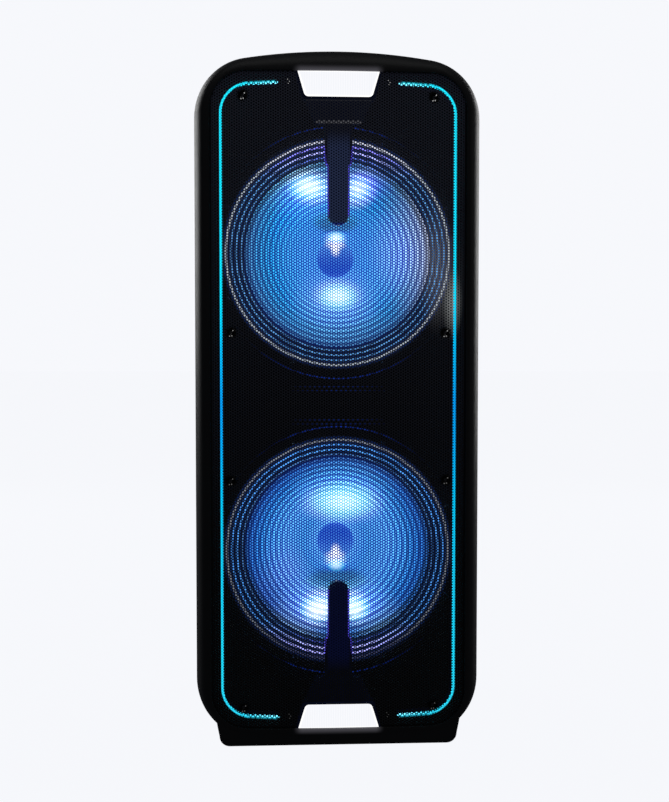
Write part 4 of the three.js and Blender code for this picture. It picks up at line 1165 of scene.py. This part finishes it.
def make_strobes():
    front_y = GRILLE_LOW[1]
    housing_back = BAFFLE_FRONT_Y - GAP
    for word, (side, _) in WOOFERS.items():
        lens = plate(word + "_strobe_panel", strobe_outline(side, 0), front_y + 0.5, front_y + 8)
        count = int((STROBE["inner_half"] - 3) / STROBE_RIB)
        ribs = [strobe_rib(i * STROBE_RIB, side, front_y) for i in range(-count, count + 1)]
        lens = joined(word + "_strobe_panel", [lens, *ribs])
        settle(shaded(lens, 40), "strobe", word + "_strobe_lens")
        housing = plate(word + "_strobe_housing", strobe_outline(side, 3.4), front_y - 0.25, housing_back)
        carved(housing, plate("pocket", strobe_outline(side, 0.05), front_y - 2, front_y + 8.5))
        settle(shaded(bevelled(housing, 0.5, 2), 34), "arm", word + "_light_arm")


def strobe_rib(x, side, front_y):
    """A low half-round rib down the panel."""
    low = CENTRE_Z + side * (STROBE_INNER_Z[side] + 1)
    high = CENTRE_Z + side * (STROBE["outer_z"] - 1)
    half, rise = STROBE_RIB * 0.42, 0.55
    section = [(half * math.cos(a), -rise * math.sin(a)) for a in np.linspace(0, math.pi, 7)]
    return loft("rib", [[(x + dx, front_y + rise + dy, z) for dx, dy in section] for z in (low, high)])


ARM_TIP_RADIUS = 13.0
ARM_TIP_Z = {1: 237.5, -1: 240.8}
ARM_HALF = [(13.4, 298.0), (16.4, 303.0), (17.9, 336.0), (18.0, 351.5), (29.0, 351.5), (43.5, 382.5)]
ARM_BACK_Y = -150.0
SPINE_Z = 282.0  # the middle of each arm's spine, from the front's middle


def make_arms():
    back = ARM_BACK_Y
    dome = [(0, back), (9, back), (9.2, back + 1.5), (7.5, back + 3.6), (4, back + 4.8), (0, back + 5.2)]
    for word, (side, _) in WOOFERS.items():
        half = arc((0, ARM_TIP_Z[side]), ARM_TIP_RADIUS, -90, 0, 16) + ARM_HALF
        outline = [(x, CENTRE_Z + side * z) for x, z in half + [(-x, z) for x, z in half[:0:-1]]]
        arm = plate(word + "_light_arm_bar", outline, LAMP_FRONT_Y, ARM_BACK_Y)
        settle(shaded(bevelled(arm, 1.8, 4), 34), "arm", word + "_light_arm")
        place = (0, CENTRE_Z + side * SPINE_Z)
        spine = slab(word + "_arm_spine", place, (2.4, 40), LAMP_FRONT_Y - 1.6, LAMP_FRONT_Y + 2, 1.2)
        settle(shaded(spine), "arm", word + "_light_arm")
        tip = (0, 0, CENTRE_Z + side * ARM_TIP_Z[side])
        spot = turned(word + "_spot_lens_dome", dome, tip, "y", 48)
        settle(shaded(spot, 50), "spot", word + "_spot_lens")
    make_arm_edges()


def make_arm_edges():
    """Thin strips of painted violet light along both sides of each arm, and painted pale highlights across
    the upper keystone.
    """
    y = LAMP_FRONT_Y
    edges = []
    for side in (1, -1):
        tip = ARM_TIP_Z[side]
        for across in (1, -1):
            path = [(ARM_TIP_RADIUS, tip - 2), *ARM_HALF[:2], (17.2, 322.0)]
            inner = [(across * (x - 0.9), CENTRE_Z + side * z) for x, z in path]
            outer = [(across * (x + 1.0), CENTRE_Z + side * z) for x, z in path[::-1]]
            edges.append(plate("edge", inner + outer, y - 0.4, y + 5))
    settle(joined("arm_edges", edges), "painted_violet_glow")
    key_z = CENTRE_Z + ARM_HALF[3][1]
    key = soft_block("keystone_edge", (-28.5, y - 0.6, key_z - 0.2), (28.5, y + 1, key_z + 3.6), 0.5)
    settle(shaded(key), "painted_pale_highlight")
    top_z = CENTRE_Z + STROBE_INNER_Z[1] - 4.0
    top = soft_block("keystone_top_edge", (-41, y - 0.6, top_z), (41, y + 1, top_z + 2.4), 0.5)
    settle(shaded(top), "painted_faint_highlight")


GUIDE_HALF, CARRIER_HALF, GUIDE_DEPTH = 1.45, 2.25, 2.6


def strip_bar(name, side, section):
    """A bar with a section of (distance across, y) that follows a strip's outline down one side."""
    top = quarter(STRIP, end_x=76.0, corner_steps=16, arch_steps=12)
    path = top[::-1] + [(x, -z) for x, z in top]
    rings = []
    for i, (x, z) in enumerate(path):
        before, after = Vector(path[max(i - 1, 0)]), Vector(path[min(i + 1, len(path) - 1)])
        along = (after - before).normalized()
        out = Vector((-along.y, along.x))
        thin = 0.62 if i in (0, len(path) - 1) else 1.0
        here = [(d * thin, y) for d, y in section]
        rings.append([(side * (x + out.x * d), y, CENTRE_Z + z + out.y * d) for d, y in here])
    return shaded(loft(name, rings), 50)


def make_strips():
    """Each strip is a shallow round-fronted light guide on a dark carrier."""
    front_y = LAMP_FRONT_Y - 0.5
    guide_back, carrier_back = front_y + GUIDE_DEPTH, BAFFLE_FRONT_Y - GAP
    half, rise = GUIDE_HALF, 1.6
    guide = [(half * math.cos(a), front_y + rise - rise * math.sin(a)) for a in np.linspace(0, math.pi, 9)]
    guide += [(-GUIDE_HALF, guide_back), (GUIDE_HALF, guide_back)]
    carrier = [(CARRIER_HALF, guide_back - 0.4), (-CARRIER_HALF, guide_back - 0.4),
               (-CARRIER_HALF, carrier_back), (CARRIER_HALF, carrier_back)]
    for word, side in (("left", -1), ("right", 1)):
        node = word + "_light_strip"
        lit = settle(strip_bar(word + "_light_guide", side, guide), "strip", node)
        lit.visible_diffuse = False
        settle(strip_bar(word + "_light_carrier", side, carrier), "arm", node)


RIB_LINES = (20.5, 15.6, -21.9, -27.0)


def make_baffle_details():
    """The cross rib between the woofers, with thin lines of painted blue light along its edges."""
    y = BAFFLE_FRONT_Y
    for i in (1, 2):
        high, low = (CENTRE_Z + z for z in RIB_LINES[2 * i - 2:2 * i])
        rib = soft_block(f"baffle_rib_{i}", (-66, y - 6, low), (66, y + 1, high), 0.8)
        settle(shaded(rib), "baffle")
    lines = [
        slab("line", (0, CENTRE_Z + z), (60, 0.45), y - 6.6, y - 5.4, 0.3)
        for z in RIB_LINES
    ]
    settle(joined("baffle_rib_edges", lines), "painted_glow_line")


# ---------------------------------------------------------------- woofers
CONE_EDGE, CONE_INNER = 120.0, 20.5
CONE_FRONT_Y = -134.9
CONE_DEPTH = 60.0
CAP_RADIUS, CAP_RISE = 24.6, 8.6


def cone_y(radius):
    share = (CONE_EDGE - radius) / (CONE_EDGE - 25)
    return CONE_FRONT_Y + CONE_DEPTH * share + 4 * math.sin(math.pi * min(share, 1))


def make_cone(word, centre):
    steps = 120
    front, back = [], []
    for i in range(steps + 1):
        radius = CONE_EDGE + (CONE_INNER - CONE_EDGE) * i / steps
        rib = 0.75 * math.cos(2 * math.pi * radius / RIB_PITCH)
        front.append((radius, cone_y(radius) - min(rib, 0.5)))
        back.append((radius, cone_y(radius) + 1.8))
    profile = [(CONE_OUTER, CONE_FRONT_Y)] + front + back[::-6] + [(CONE_OUTER, CONE_FRONT_Y + 1.8)]
    cone = turned(word + "_cone_paper", profile, centre, "y", 128)
    settle(shaded(cone, 60), word + "_cone", word + "_cone", body=word + "_cone_body")


def make_cap(word, centre):
    base = cone_y(CAP_RADIUS) - 0.5
    angles = np.linspace(0, math.pi / 2, 18)
    dome = [(CAP_RADIUS * math.cos(a), base - CAP_RISE * math.sin(a)) for a in angles]
    inner = [(r * 0.96, y + 0.9) for r, y in dome[::-2]]
    cap = turned(word + "_cap_dome", dome + inner, centre, "y", 96)
    settle(shaded(cap, 60), word + "_cap", word + "_dust_cap", body=word + "_cone_body")


SURROUND_OUTER, SURROUND_INNER = 147.0, 119.0
FOLD_TOP, FOLD_PITCH = 144.2, 6.9
BOLT_CIRCLE = 152.4


def make_surround(word, centre):
    """A flat ring of five folds between the basket and the cone."""
    front, back = [], []
    steps = 72
    for i in range(steps + 1):
        radius = SURROUND_OUTER + (SURROUND_INNER - SURROUND_OUTER) * i / steps
        share = i / steps
        base = -144.6 + 8.2 * share ** 1.7
        fade = min(1, 8 * share, 8 * (1 - share))
        fold = math.cos(2 * math.pi * (radius - FOLD_TOP) / FOLD_PITCH) * fade
        front.append((radius, base - fold))
        back.append((radius, base - fold + 0.9))
    ring = turned(word + "_surround_folds", front + back[::-1], centre, "y", 144)
    shaded(ring, 60)
    ring.data.materials.append(LOOK[word + "_surround"][1])
    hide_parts(word + "_surround")
    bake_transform(ring)


def make_basket(word, centre):
    flange = [(157, -145.4), (156.4, -146), (148.1, -146), (147.5, -145.4), (147.5, -143), (141, -143)]
    inside = [(141, -137), (66, -53), (54, -53), (54, -47), (24, -47), (24, -44)]
    back = [(68, -44), (74, -56), (147.4, -138), (147.4, -142), (157, -142)]
    basket = turned(word + "_basket", flange + inside + back, centre, "y", 96)
    windows = []
    for i in range(6):
        window = soft_block("window", (83, -120, -26), (129, -62, 26), 6)
        windows.append(moved(window, "Y", i * math.pi / 3, centre))
    carved(basket, *windows)
    settle(shaded(basket, 34), "frame", word + "_woofer_frame")
    # A thin ring on the basket's lip with a painted blue glow.
    lip = [(160.4, -147.0), (159.8, -147.4), (159.0, -147.0), (159.8, -146.7)]
    edge = turned(word + "_basket_edge", lip, centre, "y", 128)
    settle(shaded(edge, 60), "painted_glow_edge")
    bolts = []
    bolt = [(0, -148.6), (2.2, -148.3), (3.2, -147.2), (3.2, -145.9), (0, -145.9)]
    for i in range(8):
        angle = math.pi / 8 + i * math.pi / 4
        place = (BOLT_CIRCLE * math.cos(angle), 0, centre[2] + BOLT_CIRCLE * math.sin(angle))
        bolts.append(turned("bolt", bolt, place, "y", 20))
    settle(shaded(joined(word + "_basket_bolts", bolts), 40), "screw")


def make_woofers():
    for word, (_, height) in WOOFERS.items():
        centre = (0, 0, height)
        make_basket(word, centre)
        make_cone(word, centre)
        make_cap(word, centre)
        make_surround(word, centre)


# ---------------------------------------------------------------- wheels and handle
TYRE_RADIUS, TYRE_HALF = 43.0, 17.0
HUB_HALF = 14.0


def make_wheels():
    half, radius, groove = TYRE_HALF, TYRE_RADIUS, TYRE_RADIUS - 1.6
    profile = [(29.3, -half + 3), (37, -half), (41, -half + 1.2), (radius, -half + 4.5)]
    for x in (-7, 0, 7):
        profile += [(radius, x - 1.4), (groove, x - 0.9), (groove, x + 0.9), (radius, x + 1.4)]
    profile += [(radius, half - 4.5), (41, half - 1.2), (37, half), (29.3, half - 3)]
    for word in ("left", "right"):
        centre = centre_mm(word + "_wheel_tyre")
        tyre = turned(word + "_tyre_tread", profile, centre, "x", 96)
        settle(shaded(tyre, 30), "tyre", word + "_wheel_tyre", body=word + "_wheel")
        make_hub(word, centre)


def make_hub(word, centre):
    half = HUB_HALF
    ring = [(29, -half), (29, half), (26.5, half), (24.5, half - 4), (24.5, -half + 4), (26.5, -half)]
    sleeve = [(6.8, -half - 2), (6.8, half + 2), (9.5, half + 2), (11, half - 1), (11, -half + 1),
              (9.5, -half - 2)]
    rim = turned("rim", ring, centre, "x", 96)
    boss = turned("boss", sleeve, centre, "x", 64)
    web = turned("web", [(10.5, -2), (25, -2), (25, 2), (10.5, 2)], centre, "x", 64)
    spokes = []
    for i in range(5):
        spoke = soft_block("spoke", (-9, -3, 9), (9, 3, 26), 1.5)
        spokes.append(moved(spoke, "X", i * 2 * math.pi / 5, centre))
    hub = joined(word + "_hub_spokes", [rim, boss, web, *spokes])
    settle(shaded(bevelled(hub, 0.4, 2), 34), "hub", word + "_wheel_hub", body=word + "_wheel")


def make_axle():
    (x0, _, _), (x1, _, _) = box_mm("wheel_axle")
    head = 3.0
    left = [(0, x0), (6, x0), (9, x0 + 1), (9, x0 + head), (6, x0 + head)]
    profile = left + [(6, x1 - head), (9, x1 - head), (9, x1 - 1), (6, x1), (0, x1)]
    axle = turned("wheel_axle_rod", profile, (0, AXLE_Y, AXLE_Z), "x", 48)
    settle(shaded(axle, 40), "steel", "wheel_axle")


def make_handle():
    for word in ("left", "right"):
        (x0, y0, z0), (x1, y1, z1) = box_mm(word + "_handle_tube")
        centre = ((x0 + x1) / 2, (y0 + y1) / 2, 0)
        profile = [(0, z0), (7.4, z0), (8, z0 + 0.8), (8, z1), (0, z1)]
        tube = turned(word + "_tube_rod", profile, centre, "z", 48)
        settle(shaded(tube, 40), "tube", word + "_handle_tube", body="trolley_handle")
        make_sleeve(word, centre)
    (x0, y0, z0), (x1, y1, z1) = box_mm("handle_grip")
    grip = soft_block("handle_grip_moulding", (x0, y0, z0), (x1, y1, z1), 8, 6)
    (bx0, by0, bz0), (bx1, by1, bz1) = box_mm("handle_button")
    well = block("well", (bx0 - 0.5, by0 - 0.5, bz0 - 5), (bx1 + 0.5, by1 + 0.5, z1 + 9))
    rounded(well, "z", 3, 5)
    notches = [
        rod("notch", 3.2, -30, 30, (i * 21, (y0 + y1) / 2, z0 - 1.6), segments=24)
        for i in range(-4, 5)
    ]
    carved(grip, well, *notches)
    settle(shaded(grip, 34), "liner", "handle_grip", body="trolley_handle")
    button = rounded(block("release_button", (bx0, by0, bz0), (bx1, by1, bz1)), "z", 3, 5)
    for x in range(-10, 11, 4):
        carved(button, block("cut", (x - 0.6, by0 - 1, bz1 - 0.8), (x + 0.6, by1 + 1, bz1 + 1)))
    settle(shaded(bevelled(button, 0.4, 2), 34), "button", "handle_button", body="handle_release")


def make_sleeve(word, centre):
    (_, _, z0), (_, _, z1) = box_mm(word + "_handle_sleeve")
    shoulder = z1 - 14
    profile = [(8.4, z0), (11, z0), (11, shoulder), (13, shoulder), (13, z1 - 1.5), (11.8, z1), (8.4, z1)]
    sleeve = turned(word + "_sleeve_tube", profile, centre, "z", 48)
    lugs = [
        soft_block("lug", (centre[0] - 7, RECESS_Y + 0.3, z), (centre[0] + 7, centre[1] - 8.6, z + 18), 1.5)
        for z in (z0 + 8, shoulder - 30)
    ]
    collar = [(11.25, shoulder - 1), (13.25, shoulder - 1), (13.25, z1 - 1.4), (12.05, z1), (11, z1 - 2)]
    whole = joined(word + "_sleeve_tube", [sleeve, *lugs])
    settle(shaded(whole, 40), "tube", word + "_handle_sleeve")
    ring = turned(word + "_sleeve_collar", collar, centre, "z", 48)
    settle(shaded(ring, 40), "hub")


# ---------------------------------------------------------------- controls on the back
PANEL_LOW, PANEL_HIGH = box_mm("control_panel")
PANEL_Y = PANEL_HIGH[1]
FLUTES = {"volume": 24, "tone": 16, "mic": 16}  # of each knob
KEYS = ("mode", "play", "light")
SOCKET_Z = 591.0
LAMP_ROW_Z = 682.0


def make_panel():
    panel = rounded(block("control_panel_plate", PANEL_LOW, PANEL_HIGH), "y", 8)
    for word in KEYS:
        x, _, z = centre_mm(word + "_button")
        carved(panel, rod("hole", 8.6, 100, 170, (x, 0, z)))
    x, _, z = centre_mm("mic_jack")
    carved(panel, rod("hole", 7.5, 100, 170, (x, 0, z)))
    (dx0, _, dz0), (dx1, _, dz1) = box_mm("display_window")
    low, high = (dx0 - 0.4, PANEL_Y - 2.8, dz0 - 0.4), (dx1 + 0.4, PANEL_Y + 4, dz1 + 0.4)
    carved(panel, block("hole", low, high))
    settle(shaded(bevelled(panel, 0.8, 3), 34), "panel", "control_panel")
    make_dial_marks()
    make_panel_trim()


def turned_mark(x, z, inner, outer, angle, width):
    """A short line on the panel that points away from (x, z)."""
    mark = block("mark", (inner, PANEL_Y - 0.1, -width / 2), (outer, PANEL_Y + 0.15, width / 2))
    return moved(mark, "Y", -math.radians(angle), (x, 0, z))


def make_dial_marks():
    marks = []
    for word in FLUTES:
        (x0, _, z0), (x1, _, z1) = box_mm(word + "_knob")
        x, z = (x0 + x1) / 2, (z0 + z1) / 2
        radius = (x1 - x0) / 2
        for i in range(11):
            reach = 5.0 if i % 5 == 0 else 3.2
            marks.append(turned_mark(x, z, radius + 2.5, radius + 2.5 + reach, -60 + 30 * i, 0.8))
    settle(joined("dial_marks", marks), "mark")


def make_panel_trim():
    """A raised frame line, port shutters and small lamps."""
    low, high = PANEL_LOW, PANEL_HIGH
    inset = 5.0
    bars = []
    x0, x1 = low[0] + inset, high[0] - inset
    z0, z1 = low[2] + inset, high[2] - inset
    for (low_x, low_z), (high_x, high_z) in (
        ((x0, z0), (x1, z0 + 0.8)),
        ((x0, z1 - 0.8), (x1, z1)),
        ((x0, z0), (x0 + 0.8, z1)),
        ((x1 - 0.8, z0), (x1, z1)),
    ):
        bars.append(block("bar", (low_x, PANEL_Y - 0.1, low_z), (high_x, PANEL_Y + 0.15, high_z)))
    settle(joined("panel_border", bars), "mark")
    for i, x in enumerate((-52, 52)):
        socket = slab(f"side_socket_{i + 1}", (x, SOCKET_Z), (9, 5), PANEL_Y - 0.2, PANEL_Y + 1.4)
        rounded(socket, "y", 2, 4)
        carved(socket, slab("slot", (x, SOCKET_Z), (6.4, 2.8), PANEL_Y + 0.2, PANEL_Y + 3))
        settle(shaded(bevelled(socket, 0.3, 2), 34), "hub")
    y = PANEL_Y
    lamp = [(0, y - 0.3), (1.6, y - 0.3), (1.6, y + 0.3), (0.8, y + 0.8), (0, y + 0.9)]
    lamps = [turned("lamp", lamp, (x, 0, LAMP_ROW_Z), "y", 24) for x in (-40, 0, 40)]
    settle(shaded(joined("panel_lamps", lamps), 50), "lamp")


SEGMENTS = {"0": "abcdef", "1": "bc", "2": "abged", "5": "afgcd"}
FIGURE_WIDTH, FIGURE_HEIGHT, FIGURE_THICK = 9.0, 17.0, 1.7


def digit(x, z, shown):
    """One figure of a seven-segment display, from the lit segments' letters."""
    half, thin = FIGURE_HEIGHT / 2, FIGURE_THICK / 2
    bars = {
        "a": (0, FIGURE_HEIGHT), "g": (0, half), "d": (0, 0),
        "b": (FIGURE_WIDTH, half), "c": (FIGURE_WIDTH, 0), "f": (0, half), "e": (0, 0),
    }
    made = []
    for letter in SEGMENTS[shown]:
        bx, bz = bars[letter]
        if letter in "agd":
            x0, x1, z0, z1 = x + 1, x + FIGURE_WIDTH - 1, z + bz - thin, z + bz + thin
        else:
            x0, x1, z0, z1 = x + bx - thin, x + bx + thin, z + bz + 1, z + bz + half - 1
        made.append(block("segment", (-x1, PANEL_Y + 0.1, z0), (-x0, PANEL_Y + 0.35, z1)))
    return made


def make_display():
    low, high = box_mm("display_window")
    window = rounded(block("display_glass_pane", low, high), "y", 1.5, 3)
    settle(shaded(bevelled(window, 0.3, 2)), "display", "display_window")
    base = (low[2] + high[2]) / 2 - FIGURE_HEIGHT / 2
    bars = []
    for x, figure in ((-31, "1"), (-15, "2"), (6, "5"), (22, "0")):
        bars += digit(x, base, figure)
    for z in (base + 4.5, base + 12.5):
        bars.append(slab("dot", (0, z), (0.9, 0.9), PANEL_Y + 0.1, PANEL_Y + 0.35))
    settle(joined("display_figures", bars), "figures")


def make_knobs():
    for word, flutes in FLUTES.items():
        make_knob(word + "_knob", word + "_control", flutes)


def make_knob(node, body, flutes):
    low, high = box_mm(node)
    x, _, z = centre_mm(node)
    radius = (high[0] - low[0]) / 2
    base, top = PANEL_Y + 0.4, high[1]
    skirt = [(0, base), (radius, base), (radius, base + 2), (radius - 0.6, base + 2.6),
             (radius - 2.6, base + 3.4)]
    side_rows = [(radius - 2.8, base + 4), (radius - 3.6, top - 1.6)]
    crown = [(radius - 4.4, top - 0.5), (radius - 5.6, top - 0.1), (radius * 0.4, top - 0.7), (0, top - 0.8)]
    segments = flutes * 6
    rings = []
    for i in range(segments):
        angle = 2 * math.pi * i / segments
        flute = 0.55 * max(0.0, math.cos(flutes * angle)) ** 2
        ring = skirt + [(r - flute, y) for r, y in side_rows] + crown
        rings.append([(x + r * math.cos(angle), y, z + r * math.sin(angle)) for r, y in ring])
    knob = loft(node + "_cap", rings, looped=True)
    settle(shaded(knob, 34), "knob", node, body=body)
    low, high = (x - 0.8, top - 1.6, z + radius * 0.3), (x + 0.8, top - 0.02, z + radius - 4.6)
    pointer = soft_block(node + "_pointer", low, high, 0.3, 2)
    settle(shaded(pointer), "mark", body=body)


def make_keys():
    for word in KEYS:
        node, body = word + "_button", word + "_key"
        low, high = box_mm(node)
        x, _, z = centre_mm(node)
        y0, y1 = low[1], high[1]
        dish = [(6.4, y1), (4, y1 - 0.35), (0, y1 - 0.5)]
        profile = [(0, y0), (8, y0), (8, y1 - 1.2), (7.4, y1 - 0.4)] + dish
        key = turned(node + "_cap", profile, (x, 0, z), "y", 64)
        settle(shaded(key, 50), "button", node, body=body)
        icon = KEY_ICONS[node](x, z, y1 - 0.55)
        icon.name = node + "_mark"
        settle(icon, "mark", body=body)


def triangle_icon(x, z, y):
    return plate("icon", [(x + 1.9, z - 2.4), (x + 1.9, z + 2.4), (x - 2.6, z)], y, y + 0.25)


def bars_icon(x, z, y):
    return joined("icon", [slab("bar", (x, z + dz), (2.6, 0.4), y, y + 0.25) for dz in (-1.7, 0, 1.7)])


def ray_icon(x, z, y):
    disc = rod("disc", 1.2, y, y + 0.25, (x, 0, z), segments=20)
    rays = []
    for i in range(8):
        ray = block("ray", (2.0, y, -0.3), (3.2, y + 0.25, 0.3))
        rays.append(moved(ray, "Y", i * math.pi / 4, (x, 0, z)))
    return joined("icon", [disc, *rays])


KEY_ICONS = {"mode_button": bars_icon, "play_button": triangle_icon, "light_button": ray_icon}


def make_jack():
    low, high = box_mm("mic_jack")
    x, _, z = centre_mm("mic_jack")
    y0, y1, step = low[1], high[1], PANEL_Y - 1.4
    profile = [(3.5, y0), (9, y0), (9, step), (7.2, step), (7.2, y1 - 0.8), (6.6, y1), (4.2, y1),
               (3.5, y1 - 0.8)]
    barrel = turned("mic_jack_barrel", profile, (x, 0, z), "y", 64)
    nut_outline = [(x + 9.6 * math.cos(a), z + 9.6 * math.sin(a)) for a in np.arange(6) * math.pi / 3]
    nut = plate("nut", nut_outline, PANEL_Y + 0.1, y1 - 0.9)
    carved(nut, rod("hole", 6.9, 100, 170, (x, 0, z), segments=48))
    jack = joined("mic_jack_barrel", [barrel, nut])
    settle(shaded(bevelled(jack, 0.25, 2), 34), "steel", "mic_jack")


def make_power():
    low, high = box_mm("power_switch")
    skin = high[1]
    rocker = rounded(block("power_rocker_cap", low, high), "x", 2, 5)
    settle(shaded(bevelled(rocker, 0.5, 2), 34), "button", "power_switch", body="power_rocker")
    x, _, z = centre_mm("power_switch")
    profile = [(1.7, skin - 0.1), (2.4, skin - 0.1), (2.4, skin + 0.1), (1.7, skin + 0.1)]
    ring = turned("off", profile, (x, 0, z - 6.5), "y", 28)
    line = slab("on", (x, z + 6.5), (0.35, 2.5), skin - 0.1, skin + 0.1)
    settle(joined("power_marks", [ring, line]), "mark", body="power_rocker")
    edging = slab("power_switch_frame", (x, z), (13, 17.5), BACK_SKIN_Y - 0.5, BACK_SKIN_Y + 1.2, 0.6)
    carved(edging, slab("hole", (x, z), (9.5, 13.6), 100, 200))
    settle(shaded(edging, 34), "panel")


def make_inlet():
    x, z = INLET_X, INLET_Z
    back = BACK_SKIN_Y
    flange = rounded(slab("mains_inlet_body", (x, z), (20, 14), back + 0.3, back + 2.6), "y", 4)
    body = rounded(slab("body", (x, z), (14, 10), 136, back + 1), "y", 2, 4)
    whole = carved(bevelled(flange, 0.5, 2), body, operation="UNION")
    socket = rounded(slab("socket", (x, z), (10, 6), 141, back + 5), "y", 3, 5)
    carved(whole, socket)
    settle(shaded(whole, 34), "panel", "mains_inlet")
    pins = [slab("pin", (x + dx, z), (1, 1.5), 141, back - 3, 0.4, 2) for dx in (-5, 0, 5)]
    settle(joined("mains_inlet_pins", pins), "steel")


def make_port():
    low, high = box_mm("port_tube")
    bore, wall, lip = 36.0, 40.0, BACK_SKIN_Y + GAP
    angles = np.linspace(0, math.pi / 2, 12)
    flare = [(bore + 7 - 7 * math.sin(a), lip - 8 + 11.4 * math.cos(a)) for a in angles]
    flange = [(50, lip), (50, lip + 1.6), (49.2, lip + 2.4), (45, high[1] - 0.1)]
    profile = [(wall, low[1]), (wall, lip)] + flange
    port = turned("port_flare", profile + flare + [(bore, low[1])], (0, 0, PORT_Z), "y", 96)
    settle(shaded(port, 40), "liner", "port_tube")


def make_shell_screws():
    """Pan-head screws in shallow cups around the back."""
    y = BACK_SKIN_Y
    cup = [(6.5, y - 0.2), (6.5, y + 0.5), (5.6, y + 0.9), (4.6, y + 0.2), (4.6, y - 0.2)]
    head = [(0, y + 1.5), (2, y + 1.3), (3.6, y + 0.7), (4.0, y - 0.2), (0, y - 0.2)]
    places = [(s * 112, z) for s in (1, -1) for z in (130, 260, 400)] + [(s * 60, 438) for s in (1, -1)]
    heads, cups = [], []
    for x, z in places:
        cups.append(turned("cup", cup, (x, 0, z), "y", 32))
        slots = [slab("slot", (x, z), half, y + 0.6, y + 3) for half in ((2.2, 0.45), (0.45, 2.2))]
        heads.append(carved(turned("head", head, (x, 0, z), "y", 28), *slots))
    settle(shaded(joined("shell_screw_cups", cups), 40), "liner")
    settle(shaded(joined("shell_screws", heads), 40), "screw")


# ---------------------------------------------------------------- inner pieces keep their CAD shape
def dress_inner_pieces():
    dress("baffle", "front_baffle")
    dress("board", "amplifier_board")
    dress("battery", "battery")
    for word in WOOFERS:
        dress("steel", word + "_top_plate", word + "_yoke")
        dress("magnet", word + "_magnet")
        dress("coil", word + "_voice_coil")
        dress("spider", word + "_spider")


# ---------------------------------------------------------------- floor, world and lights
PALE = (0.928, 0.939, 0.974)
FLOOR_REACH = 60.0  # metres


def make_stage():
    mesh = bpy.data.meshes.new("floor")
    corners = [(-FLOOR_REACH, -FLOOR_REACH, 0), (FLOOR_REACH, -FLOOR_REACH, 0),
               (FLOOR_REACH, FLOOR_REACH, 0), (-FLOOR_REACH, FLOOR_REACH, 0)]
    mesh.from_pydata(corners, [], [(0, 1, 2, 3)])
    floor = bpy.data.objects.new("floor", mesh)
    bpy.context.scene.collection.objects.link(floor)
    n = Nodes("floor_pale")
    n.set(Base_Color=(0.02, 0.02, 0.02), Roughness=1.0, Specular_IOR_Level=0.0)
    n.glow(PALE, 0.99)
    mesh.materials.append(n.material)
    floor.visible_diffuse = False
    floor.visible_glossy = False


def make_world():
    world = bpy.data.worlds.new("studio")
    world.use_nodes = True
    tree = world.node_tree
    background = tree.nodes["Background"]
    background.inputs["Color"].default_value = (*PALE, 1.0)
    dim = tree.nodes.new("ShaderNodeBackground")
    dim.inputs["Color"].default_value = (0.8, 0.85, 1.0, 1.0)
    dim.inputs["Strength"].default_value = 0.035
    path = tree.nodes.new("ShaderNodeLightPath")
    mix = tree.nodes.new("ShaderNodeMixShader")
    tree.links.new(path.outputs["Is Camera Ray"], mix.inputs[0])
    tree.links.new(dim.outputs[0], mix.inputs[1])
    tree.links.new(background.outputs[0], mix.inputs[2])
    tree.links.new(mix.outputs[0], tree.nodes["World Output"].inputs["Surface"])
    bpy.context.scene.world = world


# Softboxes as (name, place, size across and up, watts), each aimed at the cabinet's middle, in metres.
SOFTBOXES = [
    ("key_left", (-1.8, -1.6, 1.7), (1.0, 1.6), 0.12),
    ("fill_right", (2.2, -0.6, 0.9), (0.6, 1.8), 0.9),
    ("overhead", (0.0, -0.6, 2.4), (1.6, 1.0), 2.0),
    ("side_left", (-2.2, 1.5, 1.2), (0.6, 1.8), 0.7),
    ("side_right", (2.2, 1.5, 1.2), (0.6, 1.8), 1.6),
    ("back_left", (-1.8, 1.9, 1.5), (0.9, 1.8), 26),
    ("back_right", (2.0, 1.8, 1.2), (0.9, 1.8), 22),
]


def make_lights():
    middle = Vector((0, 0, CENTRE_Z * MM))
    for name, place, (across, up), watts in SOFTBOXES:
        data = bpy.data.lights.new(name, "AREA")
        data.shape = "RECTANGLE"
        data.size, data.size_y = across, up
        data.energy = watts
        light = bpy.data.objects.new(name, data)
        light.location = place
        light.rotation_euler = (middle - Vector(place)).to_track_quat("-Z", "Y").to_euler()
        bpy.context.scene.collection.objects.link(light)


make_bezel()
make_shell()
make_plinth()
make_feet()
make_grille()
make_grille_screws()
make_strobes()
make_arms()
make_strips()
make_baffle_details()
make_woofers()
make_wheels()
make_axle()
make_handle()
make_panel()
make_display()
make_knobs()
make_keys()
make_jack()
make_power()
make_inlet()
make_port()
make_shell_screws()
dress_inner_pieces()
make_stage()
make_world()
make_lights()
bpy.context.scene.view_settings.view_transform = "Standard"
